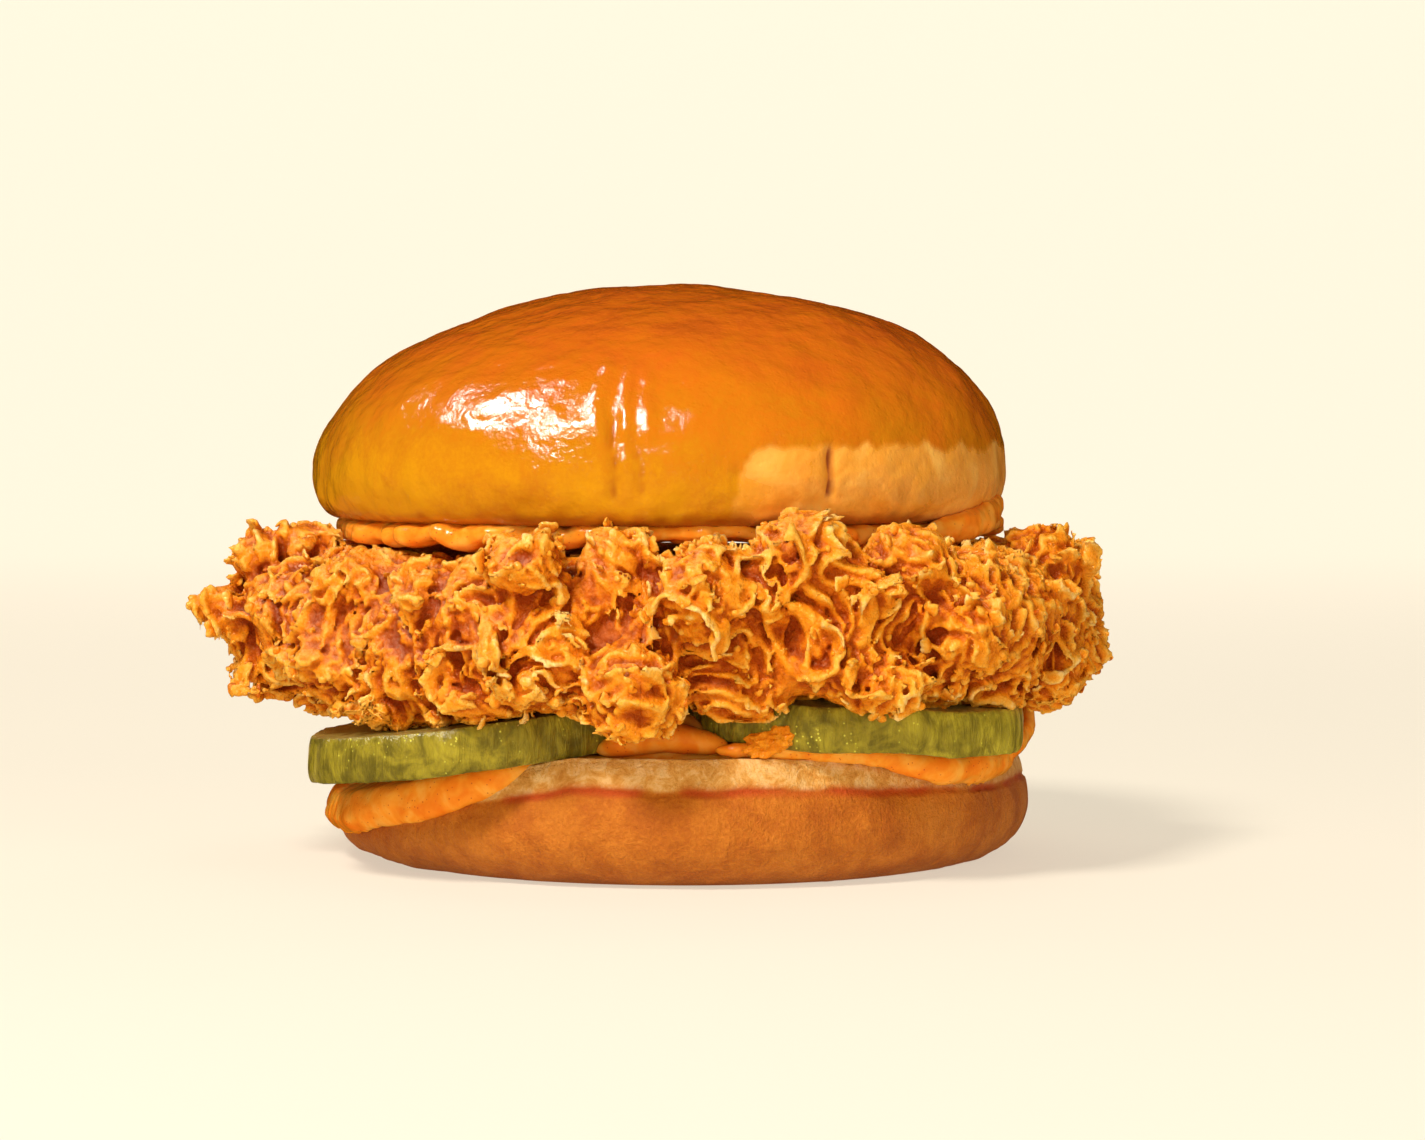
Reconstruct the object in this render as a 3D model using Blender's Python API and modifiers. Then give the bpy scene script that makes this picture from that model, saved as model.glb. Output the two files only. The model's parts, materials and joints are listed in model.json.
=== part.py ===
"""A fried chicken burger: bun crown, sauce, craggy fillet, two pickle slices, sauce and bun heel.

Metres, +Z up. The origin is the centre of the heel's flat base.
+X runs along the fillet and -Y is the front.
Every piece is a globe primitive whose points are moved to the piece's own surface.
A point is given by an angle round the stack and by t, from the lower pole, 0, to the upper pole, 1.
"""

import math
import random

import bmesh
import bpy
from mathutils import Vector, noise

# Bun heel
HEEL_RADIUS = 0.0503
HEEL_BASE_RADIUS = 0.0410
HEEL_LIP_RADIUS = 0.0496
HEEL_RIM_RADIUS = 0.0478
HEEL_HEIGHT = 0.0180
HEEL_WIDEST_AT = 0.50
HEEL_LIP_AT = 0.72
HEEL_GROOVE = 0.0007
HEEL_DISH = 0.0014
HEEL_RIDGE = (-0.0130, 0.0080)
HEEL_FALL_LEFT = 0.280
HEEL_FALL_RIGHT = 0.060
HEEL_EASE = 0.0040
HEEL_DISH_RUN = 0.0080
HEEL_UNEVEN = 0.010
GROOVE_END = 0.4
# Where the heel's profile, from 0 at the middle of the base to 1 at the middle of the cut face, changes
HEEL_BASE_END = 0.15
HEEL_WIDEST_T = 0.40
HEEL_LIP_T = 0.55
HEEL_RIM_T = 0.70

# Bun crown
CROWN_RADIUS = 0.0510
CROWN_BOTTOM = 0.0496
CROWN_DOME = 0.0275
CROWN_CHEEK = 0.0065
CROWN_CUT_RADIUS = 0.0465
CROWN_CENTRE = Vector((-0.0040, 0.0, 0.0))
CROWN_SQUARENESS = 0.97
CROWN_LEAN = 0.0030
# Where the crown's profile, from 0 at the middle of the cut face to 1 at the top, changes
CROWN_CUT_END = 0.16
CROWN_WIDEST_T = 0.32
# Swellings of the crown: height, size and seed
CROWN_SWELLS = ((0.0009, 0.022, 7.0), (0.0004, 0.009, 2.0))
CROWN_SWELL_SLANT = 0.7

# Pickle slices: centre, radius, height of the underside at the centre, and its rise along X
PICKLES = {
    "pickle_left": {"x": -0.0298, "y": -0.0262, "r": 0.0234, "under": 0.0160, "slope": 0.118},
    "pickle_right": {"x": 0.0233, "y": -0.0235, "r": 0.0252, "under": 0.0188, "slope": -0.060},
}
PICKLE_THICK = 0.0063
PICKLE_WOBBLE = 0.0005
PICKLE_WOBBLE_SIZE = 0.009
PICKLE_SHOULDER = 0.985
PICKLE_SEED_SCALE = 400.0

# Fillet
FILLET_CENTRE = Vector((-0.0045, -0.0030, 0.0))
FILLET_HALF_LENGTH = 0.0617
FILLET_HALF_WIDTH = 0.0480
WIDER_ON_THE_RIGHT = 0.05
FILLET_MIDDLE = 0.0345
FILLET_HALF_THICK = 0.0124
FILLET_ROUNDNESS = 0.55
FILLET_REACH = 0.0678
FILLET_FLOOR = 0.0215
FILLET_HOLLOW = 0.0266
HOLLOW_RADIUS = 0.0360
HOLLOW_RUN = 0.0060
CLEAR_OF_PICKLE = 0.0050
CLEAR_RUN = 0.0040
CROWN_CLEARANCE = 0.0012
FILLET_CEILING = 0.0452
PICKLE_CLEARANCE = 0.0009
FILLET_RISE_IN_FRONT = 0.0045
LUMP_SIZE = 0.0110
LUMP_HEIGHT = 0.0058
LUMP_LEVEL = 0.40
CRAG_SIZE = 0.0050
CRAG_HEIGHT = 0.0014
CRAG_LEVEL = 0.35
CRUST_WARP = 0.0030
CRUST_WARP_SIZE = 0.0090
CRUST_WARP_SEEDS = (11.0, 23.0, 37.0)
SWELL_HEIGHT = 0.0012
SWELL_SIZE = 0.0160
# Squareness of the fillet's plan at its middle and what it gains to the right
PLAN_POWER = (2.4, 0.5)
# Waves of the fillet's plan: share of the reach, count and phase
PLAN_WAVES = ((0.025, 3.0, 0.6), (0.018, 7.0, 2.0))
TIP_START = 0.80
TIP_THINNER = 0.22
TIP_LIFT = 0.0012
# How strongly the rings gather at the fillet's rim, which shows
RING_GATHER = (2.6, 0.35)
# Lobes of the crust: angle round the fillet in degrees, height above its middle, width and rise
LOBES = (
    (-8.0, -0.0065, 0.0080, 0.0035),
    (-138.0, -0.0095, 0.0100, 0.0035),
    (-114.0, -0.0095, 0.0090, 0.0035),
    (-60.0, -0.0090, 0.0090, 0.0030),
    (2.0, 0.0065, 0.0080, 0.0030),
    (184.0, -0.0010, 0.0070, 0.0040),
    (192.0, 0.0090, 0.0080, 0.0030),
    (-93.0, -0.0065, 0.0070, 0.0045),
    (-80.0, 0.0060, 0.0080, 0.0050),
    (-63.0, 0.0120, 0.0090, 0.0060),
    (-115.0, 0.0040, 0.0090, 0.0035),
    (-41.0, 0.0050, 0.0090, 0.0035),
)

# Flakes of crust fused to the fillet
FLAKE_TRIES = 200
FLAKES = 34
FLAKE_SEED = 31
FLAKE_LENGTH = (0.0050, 0.0085)
FLAKE_THICK = 0.0013
FLAKE_ROOT = 0.0035
FLAKE_TOP = 0.0515
FLAKE_BAND = (-0.21, 0.24)
FLAKE_LIFT = (30.0, 70.0)
FLAKE_WIDTH = (0.8, 1.4)
FLAKE_CURL = (0.15, 0.6)
FLAKE_CUP = 0.35
FLAKE_WAVE = (0.05, 0.13)
FLAKE_DROOP = 0.25
FLAKE_RAGGED = 0.12
FLAKE_COLUMNS = 3
FLAKE_ROWS = 2

# Sauces
SAUCE_GAP = 0.0003
EXTRA_GAP_ON_BENDS = 0.0005
LOWER_SAUCE_RINGS = 18
RIM_SHARE = 5.0 / 9.0
LOWER_SAUCE_THICK = 0.0010
LOWER_SAUCE_REACH = 0.0440
LOWER_SAUCE_FRONT_REACH = 0.0400
FRONT_DIRECTION = -95.0
FRONT_SPREAD = 0.42
LOWER_SAUCE_WAVE = 0.0009
LOWER_SAUCE_RIPPLE = 0.0002
DRIP_THICKER = 0.0014
UNDER_PICKLE = 0.0050
LEAST_SAUCE = 0.0003
# The hump between the pickles: place, widths and height
HUMP_CENTRE = (-0.0050, -0.0400)
HUMP_WIDTHS = (0.0040, 0.0060)
HUMP_HEIGHT = 0.0030
# Where the lower sauce hangs over the side: direction in degrees, spread in radians, share of the profile
LOWER_SAUCE_DRIPS = ((-166.0, 0.75, 0.33), (-36.0, 0.50, 0.16), (75.0, 0.40, 0.12))
UPPER_SAUCE_BOTTOM = 0.0455
UPPER_SAUCE_RADIUS = 0.0475
UPPER_SAUCE_CENTRE_SHARE = 0.62
# Waves of the upper sauce's rim: height, count and phase
UPPER_SAUCE_WAVES = ((0.0008, 5.0, 0.5), (0.0006, 11.0, 0.0))
# Where the upper sauce swells out: direction in degrees, spread and height
UPPER_SAUCE_SWELL = (2.0, 0.22, 0.0030)

COLOURS = {
    "glazed_bun": ((0.72, 0.21, 0.012, 1.0), 0.30),
    "baked_heel": ((0.65, 0.19, 0.022, 1.0), 0.60),
    "fried_crust": ((0.72, 0.23, 0.015, 1.0), 0.50),
    "sauce": ((0.85, 0.25, 0.025, 1.0), 0.25),
    "pickle": ((0.28, 0.21, 0.025, 1.0), 0.30),
}


def smooth_step(value):
    """0 below 0, 1 above 1, and a smooth rise between."""
    u = max(0.0, min(1.0, value))
    return u * u * (3.0 - 2.0 * u)


def mix(a, b, share):
    return a + (b - a) * share


def bump(offset, width):
    """A round hill, 1 at offset 0 and near 0 past twice the width."""
    return math.exp(-((offset / width) ** 2))


def turn_between(angle, degrees):
    """The angle from a direction given in degrees, in radians, without a jump at half a turn."""
    return math.remainder(angle - math.radians(degrees), 2.0 * math.pi)


def noise_at(point, size, seed=0.0):
    """Smooth noise from -1 to 1 with lumps of about that size."""
    return noise.noise(point / size + Vector((seed, seed * 1.7, seed * 0.3)))


# Shared helpers that make the objects


def material(name):
    found = bpy.data.materials.get(name)
    if found:
        return found
    made = bpy.data.materials.new(name)
    made.use_nodes = True
    colour, roughness = COLOURS[name]
    shader = made.node_tree.nodes["Principled BSDF"]
    shader.inputs["Base Color"].default_value = colour
    shader.inputs["Roughness"].default_value = roughness
    shader.inputs["Metallic"].default_value = 0.0
    made.diffuse_color = colour
    return made


def finish_mesh(name, bm, slot, collection):
    mesh = bpy.data.meshes.new(name)
    bm.to_mesh(mesh)
    bm.free()
    mesh.materials.append(material(slot))
    mesh.shade_smooth()
    made = bpy.data.objects.new(name, mesh)
    collection.objects.link(made)
    return made


def globe(name, segments, rings, place, slot, collection):
    """A closed body whose point at (angle, t) is place(angle, t)."""
    bm = bmesh.new()
    bmesh.ops.create_uvsphere(bm, u_segments=segments, v_segments=rings, radius=1.0)
    for vertex in bm.verts:
        angle = math.atan2(vertex.co.y, vertex.co.x)
        t = 0.5 + math.asin(max(-1.0, min(1.0, vertex.co.z))) / math.pi
        vertex.co = place(angle, t)
    bmesh.ops.triangulate(bm, faces=bm.faces)
    return finish_mesh(name, bm, slot, collection)


# Bun heel


def heel_top(x):
    """The height of the heel's rim: a level ridge, pressed down by the pickles on both sides."""
    left, right = HEEL_RIDGE
    if x < left:
        fall, away = HEEL_FALL_LEFT, left - x
    else:
        fall, away = HEEL_FALL_RIGHT, max(0.0, x - right)
    return HEEL_HEIGHT - fall * (math.sqrt(away**2 + HEEL_EASE**2) - HEEL_EASE)


def heel_profile(t, groove_share):
    """Radius and share of the height: flat base, rounded side, pressed-in lip, upper band, cut face."""
    if t < HEEL_BASE_END:
        return HEEL_BASE_RADIUS * t / HEEL_BASE_END, 0.0
    if t < HEEL_WIDEST_T:
        turn = (t - HEEL_BASE_END) / (HEEL_WIDEST_T - HEEL_BASE_END) * math.pi / 2.0
        out = HEEL_RADIUS - HEEL_BASE_RADIUS
        return HEEL_BASE_RADIUS + out * math.sin(turn), HEEL_WIDEST_AT * (1.0 - math.cos(turn))
    if t < HEEL_LIP_T:
        up = (t - HEEL_WIDEST_T) / (HEEL_LIP_T - HEEL_WIDEST_T)
        return mix(HEEL_RADIUS, HEEL_LIP_RADIUS, up**2), mix(HEEL_WIDEST_AT, HEEL_LIP_AT, up)
    if t < HEEL_RIM_T:
        up = (t - HEEL_LIP_T) / (HEEL_RIM_T - HEEL_LIP_T)
        groove = groove_share * HEEL_GROOVE * (1.0 - smooth_step(up / GROOVE_END))
        share = mix(HEEL_LIP_AT, 1.0, math.sin(up * math.pi / 2.0))
        return mix(HEEL_LIP_RADIUS, HEEL_RIM_RADIUS, up**2) - groove, share
    return HEEL_RIM_RADIUS * (1.0 - t) / (1.0 - HEEL_RIM_T), 1.0


def heel_point(angle, t, groove_share=1.0):
    r, share = heel_profile(t, groove_share)
    around = Vector((math.cos(angle), math.sin(angle), 0.0))
    uneven = 1.0 + HEEL_UNEVEN * noise_at(around, 0.67, 3.0) * smooth_step(r / HEEL_RADIUS)
    x, y = r * uneven * around.x, r * uneven * around.y
    dish = HEEL_DISH * smooth_step((HEEL_RIM_RADIUS - r) / HEEL_DISH_RUN) if t > HEEL_RIM_T else 0.0
    return Vector((x, y, share * heel_top(x) - dish))


# Bun crown


def crown_profile(t):
    """Radius and height above the cut face: flat cut, rounded cheek, elliptical dome."""
    if t < CROWN_CUT_END:
        return CROWN_CUT_RADIUS * t / CROWN_CUT_END, 0.0
    if t < CROWN_WIDEST_T:
        turn = (t - CROWN_CUT_END) / (CROWN_WIDEST_T - CROWN_CUT_END) * math.pi / 2.0
        out = CROWN_RADIUS - CROWN_CUT_RADIUS
        return CROWN_CUT_RADIUS + out * math.sin(turn), CROWN_CHEEK * (1.0 - math.cos(turn))
    turn = (t - CROWN_WIDEST_T) / (1.0 - CROWN_WIDEST_T) * math.pi / 2.0
    rise = math.sin(turn) ** CROWN_SQUARENESS
    return CROWN_RADIUS * math.cos(turn) ** CROWN_SQUARENESS, CROWN_CHEEK + CROWN_DOME * rise


def crown_point(angle, t):
    r, height = crown_profile(t)
    around = Vector((math.cos(angle), math.sin(angle), 0.0))
    place = around * r + Vector((0.0, 0.0, height))
    swell = sum(rise * noise_at(place, size, seed) for rise, size, seed in CROWN_SWELLS)
    lift = smooth_step(height / CROWN_CHEEK)
    out = (around + Vector((0.0, 0.0, 1.0))) * CROWN_SWELL_SLANT * swell * lift
    lean = Vector((CROWN_LEAN * smooth_step((height - CROWN_CHEEK) / CROWN_DOME), 0.0, CROWN_BOTTOM))
    return CROWN_CENTRE + lean + place + out


# Pickles


def pickle_under(pickle, x):
    return pickle["under"] + pickle["slope"] * (x - pickle["x"])


def beside(pickle, x, y):
    """How far (x, y) lies outside a pickle's edge; negative over the pickle."""
    return math.hypot(x - pickle["x"], y - pickle["y"]) - pickle["r"]


def pickle_place(name):
    pickle = PICKLES[name]

    def place(angle, t):
        edge_low, edge_high = 0.30, 0.70
        if t < edge_low:
            r, up = t / edge_low * PICKLE_SHOULDER, 0.0
        elif t > edge_high:
            r, up = (1.0 - t) / (1.0 - edge_high) * PICKLE_SHOULDER, 1.0
        else:
            up = (t - edge_low) / (edge_high - edge_low)
            r = mix(PICKLE_SHOULDER, 1.0, math.sin(up * math.pi))
        around = Vector((math.cos(angle), math.sin(angle), 0.0))
        seat = around * pickle["r"]
        uneven = PICKLE_WOBBLE * noise_at(seat, PICKLE_WOBBLE_SIZE, pickle["r"] * PICKLE_SEED_SCALE)
        x = pickle["x"] + (pickle["r"] * r + uneven * smooth_step(r)) * around.x
        y = pickle["y"] + (pickle["r"] * r + uneven * smooth_step(r)) * around.y
        return Vector((x, y, pickle_under(pickle, x) + PICKLE_THICK * up))

    return place


# Fillet


def fillet_reach(angle):
    """Half width of the fillet at this angle: a long rounded shape, blunt on the right."""
    c, s = math.cos(angle), math.sin(angle)
    half_width = FILLET_HALF_WIDTH * (1.0 + WIDER_ON_THE_RIGHT * c)
    power = PLAN_POWER[0] + PLAN_POWER[1] * c
    reach = (abs(c / FILLET_HALF_LENGTH) ** power + abs(s / half_width) ** power) ** (-1.0 / power)
    return reach * (1.0 + sum(share * math.sin(count * angle + phase) for share, count, phase in PLAN_WAVES))


def fillet_body(angle, t):
    """The fillet without its crust, as a point and an outward direction."""
    swept = math.sin((t - 0.5) * math.pi)
    power, share = RING_GATHER
    polar = mix(t - 0.5, math.copysign(abs(swept) ** power, swept) / 2.0, share) * math.pi
    across, up = math.cos(polar), math.sin(polar)
    r = fillet_reach(angle) * abs(across) ** FILLET_ROUNDNESS
    tip = smooth_step((-math.cos(angle) - TIP_START) / (1.0 - TIP_START)) * across
    thick = FILLET_HALF_THICK * (1.0 - TIP_THINNER * tip)
    z = FILLET_MIDDLE + TIP_LIFT * tip + thick * math.copysign(abs(up) ** FILLET_ROUNDNESS, up)
    place = FILLET_CENTRE + Vector((r * math.cos(angle), r * math.sin(angle), z))
    slant = abs(across) ** 0.7
    out = Vector((math.cos(angle) * slant, math.sin(angle) * slant, up))
    return place, out.normalized()


def crust_relief(place):
    """How far the crust stands out: rounded lumps with deep seams, and small crags on them."""
    drift = Vector([noise_at(place, CRUST_WARP_SIZE, seed) for seed in CRUST_WARP_SEEDS])
    warped = place + CRUST_WARP * drift
    lump = LUMP_LEVEL - noise.voronoi(warped / LUMP_SIZE)[0][0] ** 2
    crag = CRAG_LEVEL - noise.voronoi(warped / CRAG_SIZE)[0][0] ** 2
    return LUMP_HEIGHT * lump + CRAG_HEIGHT * crag + SWELL_HEIGHT * noise_at(place, SWELL_SIZE, 5.0)


def lobe_rise(angle, height):
    return sum(
        rise * bump(turn_between(angle, degrees) * FILLET_HALF_WIDTH, width) * bump(height - at, width)
        for degrees, at, width, rise in LOBES
    )


def floor_under(x, y):
    """The lowest height that the fillet may reach at (x, y): just over a pickle, or over the open sauce."""
    inside = 1.0 - smooth_step((math.hypot(x, y) - HOLLOW_RADIUS) / HOLLOW_RUN)
    lowest = mix(FILLET_FLOOR, FILLET_HOLLOW, inside)
    for pickle in PICKLES.values():
        on_pickle = pickle_under(pickle, x) + PICKLE_THICK + PICKLE_CLEARANCE
        away = smooth_step((beside(pickle, x, y) - CLEAR_OF_PICKLE) / CLEAR_RUN)
        lowest = max(lowest, mix(on_pickle, FILLET_FLOOR, away))
    return lowest


def fillet_point(angle, t):
    place, out = fillet_body(angle, t)
    crust = crust_relief(place) + lobe_rise(angle, place.z - FILLET_MIDDLE)
    place = place + out * crust
    under_crown = math.hypot(place.x - CROWN_CENTRE.x, place.y) < CROWN_RADIUS + CROWN_CLEARANCE
    ceiling = FILLET_CEILING if under_crown else FILLET_CEILING + FILLET_RISE_IN_FRONT
    place.z = max(floor_under(place.x, place.y), min(ceiling, place.z))
    return place


def flake_spot(rng):
    """A seat on the fillet's rim, the direction in which the flake grows and the way its face looks."""
    angle = rng.uniform(-math.pi, math.pi)
    t = 0.5 + rng.uniform(*FLAKE_BAND)
    seat, out = fillet_body(angle, t)
    seat = seat + out * (crust_relief(seat) + lobe_rise(angle, seat.z - FILLET_MIDDLE))
    side = Vector((0.0, 0.0, 1.0)).cross(out).normalized()
    upward = out.cross(side)
    lean = rng.uniform(0.0, 2.0 * math.pi)
    along = side * math.cos(lean) + upward * math.sin(lean)
    lift = math.radians(rng.uniform(*FLAKE_LIFT))
    grow = along * math.cos(lift) + out * math.sin(lift)
    face = (out * math.cos(lift) - along * math.sin(lift)).normalized()
    return seat, grow, face


def flake_points(rng, seat, grow, face):
    """Rows of points of a curled petal of crust, from its sunken root to its ragged rim."""
    columns, rows = FLAKE_COLUMNS, FLAKE_ROWS
    across = grow.cross(face)
    length = rng.uniform(*FLAKE_LENGTH)
    width = length * rng.uniform(*FLAKE_WIDTH)
    curl = rng.uniform(*FLAKE_CURL)
    cup = rng.uniform(-FLAKE_CUP, FLAKE_CUP)
    wave = rng.uniform(*FLAKE_WAVE)
    phase = rng.uniform(0.0, 6.0)
    points = []
    for row in range(rows + 1):
        v = row / rows
        for column in range(columns + 1):
            u = 2.0 * column / columns - 1.0
            ragged = 1.0 - FLAKE_DROOP * u * u + FLAKE_RAGGED * math.sin(5.0 * u + phase)
            half = width * (0.30 + 0.20 * math.sin(math.pi * (0.1 + 0.7 * v)))
            lift = curl * v * v + cup * u * u * v + wave * v * math.sin(4.0 * u + phase)
            outward = length * ragged * v - FLAKE_ROOT
            points.append(seat + across * (u * half) + grow * outward + face * (lift * length))
    return points


def flake_is_clear(points):
    """True where the whole flake stays off the pickles, the upper sauce and the crown."""
    for point in points:
        to_crown = math.hypot(point.x - CROWN_CENTRE.x, point.y)
        if abs(point.x - FILLET_CENTRE.x) > FILLET_REACH:
            return False
        if point.z < floor_under(point.x, point.y) + FLAKE_THICK + PICKLE_CLEARANCE:
            return False
        if to_crown < CROWN_RADIUS + CROWN_CLEARANCE and point.z > FILLET_CEILING - FLAKE_THICK:
            return False
        if point.z > FLAKE_TOP:
            return False
    return True


def flake(index, rng, collection):
    """One closed flake, or None where it would touch a neighbour."""
    columns, rows = FLAKE_COLUMNS, FLAKE_ROWS
    seat, grow, face = flake_spot(rng)
    points = flake_points(rng, seat, grow, face)
    if not flake_is_clear(points):
        return None
    bm = bmesh.new()
    bmesh.ops.create_grid(bm, x_segments=columns, y_segments=rows, size=1.0)
    for vertex in bm.verts:
        column = round((vertex.co.x + 1.0) / 2.0 * columns)
        row = round((vertex.co.y + 1.0) / 2.0 * rows)
        vertex.co = points[row * (columns + 1) + column]
    made = finish_mesh(f"flake_{index}", bm, "fried_crust", collection)
    shell = made.modifiers.new("Solidify", "SOLIDIFY")
    shell.thickness = FLAKE_THICK
    shell.offset = 0.0
    return made


def apply_modifiers(made):
    """Replaces the object's mesh with the one that its modifiers give."""
    graph = bpy.context.evaluated_depsgraph_get()
    mesh = bpy.data.meshes.new_from_object(made.evaluated_get(graph))
    made.modifiers.clear()
    made.data = mesh


def island_of(start, seen):
    """All faces joined to this one."""
    found, waiting = [], [start]
    seen.add(start)
    while waiting:
        face = waiting.pop()
        found.append(face)
        for edge in face.edges:
            for other in edge.link_faces:
                if other not in seen:
                    seen.add(other)
                    waiting.append(other)
    return found


def keep_outer_shell(made):
    """Fills sealed hollows and drops loose scraps: only the largest shell is kept."""
    bm = bmesh.new()
    bm.from_mesh(made.data)
    seen, islands = set(), []
    for face in bm.faces:
        if face not in seen:
            islands.append(island_of(face, seen))
    islands.sort(key=len)
    scraps = [face for island in islands[:-1] for face in island]
    bmesh.ops.delete(bm, geom=scraps, context="FACES")
    bm.to_mesh(made.data)
    bm.free()


def fillet(collection):
    made = globe("chicken_fillet", 96, 20, fillet_point, "fried_crust", collection)
    flakes = bpy.data.collections.new("flakes")
    bpy.context.scene.collection.children.link(flakes)
    rng = random.Random(FLAKE_SEED)
    for index in range(FLAKE_TRIES):
        grown = flake(index, rng, flakes)
        if grown:
            apply_modifiers(grown)
        if len(flakes.objects) == FLAKES:
            break
    union = made.modifiers.new("Fuse flakes", "BOOLEAN")
    union.operation = "UNION"
    union.operand_type = "COLLECTION"
    union.collection = flakes
    union.solver = "EXACT"
    apply_modifiers(made)
    keep_outer_shell(made)
    for piece in list(flakes.objects):
        bpy.data.objects.remove(piece)
    bpy.data.collections.remove(flakes)
    return made


# Sauces


def lower_sauce_end(angle):
    """How far along the heel's profile the lower sauce runs: to near the rim, or down the side in drips."""
    front = bump(turn_between(angle, FRONT_DIRECTION), FRONT_SPREAD)
    reach = mix(LOWER_SAUCE_REACH, LOWER_SAUCE_FRONT_REACH, front)
    reach += LOWER_SAUCE_WAVE * math.sin(5.0 * angle + 1.0) * (1.0 - front)
    on_top = (1.0 - HEEL_RIM_T) * reach / HEEL_RIM_RADIUS
    drips = sum(
        drop * smooth_step((spread - abs(turn_between(angle, degrees))) / (spread * 0.8))
        for degrees, spread, drop in LOWER_SAUCE_DRIPS
    )
    return on_top + drips


def lower_sauce_room(place):
    """Free height over this point of the heel, up to a pickle that covers it."""
    room = 1.0
    for pickle in PICKLES.values():
        if beside(pickle, place.x, place.y) < UNDER_PICKLE:
            gaps = 2.0 * SAUCE_GAP + EXTRA_GAP_ON_BENDS
            room = min(room, pickle_under(pickle, place.x) - place.z - gaps)
    return max(room, LEAST_SAUCE)


def lower_sauce_thickness(angle, q, end, place):
    """Thin over the cut face, with a hump between the pickles and full drips, rounded off at the edge."""
    hump = HUMP_HEIGHT * bump(place.x - HUMP_CENTRE[0], HUMP_WIDTHS[0])
    hump *= bump(place.y - HUMP_CENTRE[1], HUMP_WIDTHS[1])
    past_rim = q - (1.0 - HEEL_RIM_T)
    over_side = smooth_step((past_rim - 0.03) / 0.06)
    thick = LOWER_SAUCE_THICK + LOWER_SAUCE_RIPPLE * math.sin(9.0 * angle) + hump + DRIP_THICKER * over_side
    room = lower_sauce_room(place) if past_rim < 0.05 else 1.0
    return min(thick, room) * math.sqrt(max(0.0, 1.0 - (q / end) ** 14))


def lower_sauce_run(share, end):
    """The place on the heel's profile for a share of the way out, with a ring of points on the rim."""
    rim = min(1.0 - HEEL_RIM_T, end - 0.02)
    if share < RIM_SHARE:
        return rim * share / RIM_SHARE
    return mix(rim, end, (share - RIM_SHARE) / (1.0 - RIM_SHARE))


def lower_sauce_point(angle, t):
    end = lower_sauce_end(angle)
    inside = t < 0.5
    q = lower_sauce_run((t if inside else 1.0 - t) * 2.0, end)
    here, further = heel_point(angle, 1.0 - q, 0.0), heel_point(angle, 0.98 - q, 0.0)
    nearer = heel_point(angle, min(1.0, 1.02 - q), 0.0)
    radial = Vector((math.cos(angle), math.sin(angle), 0.0))
    step = further - nearer
    normal = (radial * -step.z + Vector((0.0, 0.0, step.dot(radial)))).normalized()
    thick = 0.0 if inside else lower_sauce_thickness(angle, q, end, here)
    # The ridge bends the cut face inside q = 0.2, and the side curves beyond the rim.
    bent = 1.0 - bump(q - 0.21, 0.05)
    gap = SAUCE_GAP + EXTRA_GAP_ON_BENDS * bent
    return here + normal * (gap + thick)


def upper_sauce_point(angle, t):
    """A slab under the crown with a full, wavy rim that swells out on the right."""
    waves = sum(rise * math.sin(count * angle + phase) for rise, count, phase in UPPER_SAUCE_WAVES)
    direction, spread, rise = UPPER_SAUCE_SWELL
    edge = UPPER_SAUCE_RADIUS + waves + rise * bump(turn_between(angle, direction), spread)
    up = math.sin((t - 0.5) * math.pi)
    r = edge * abs(math.cos((t - 0.5) * math.pi)) ** 0.35
    room = CROWN_BOTTOM - SAUCE_GAP - UPPER_SAUCE_BOTTOM
    thick = mix(room * UPPER_SAUCE_CENTRE_SHARE, room, smooth_step((r / edge - 0.80) / 0.15))
    middle = CROWN_BOTTOM - SAUCE_GAP - thick / 2.0
    z = middle + thick / 2.0 * math.copysign(abs(up) ** 0.4, up)
    return Vector((CROWN_CENTRE.x + r * math.cos(angle), r * math.sin(angle), z))


def clear_scene():
    for old in list(bpy.data.objects):
        bpy.data.objects.remove(old, do_unlink=True)


def main():
    clear_scene()
    burger = bpy.data.collections.new("chicken_burger")
    bpy.context.scene.collection.children.link(burger)
    globe("bun_heel", 56, 20, heel_point, "baked_heel", burger)
    globe("sauce_lower", 56, LOWER_SAUCE_RINGS, lower_sauce_point, "sauce", burger)
    for name in PICKLES:
        globe(name, 30, 10, pickle_place(name), "pickle", burger)
    fillet(burger)
    globe("sauce_upper", 48, 10, upper_sauce_point, "sauce", burger)
    globe("bun_crown", 48, 18, crown_point, "glazed_bun", burger)


main()
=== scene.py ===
import json
import math

import bpy
import numpy as np
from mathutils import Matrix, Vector, noise
from mathutils.bvhtree import BVHTree

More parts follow.
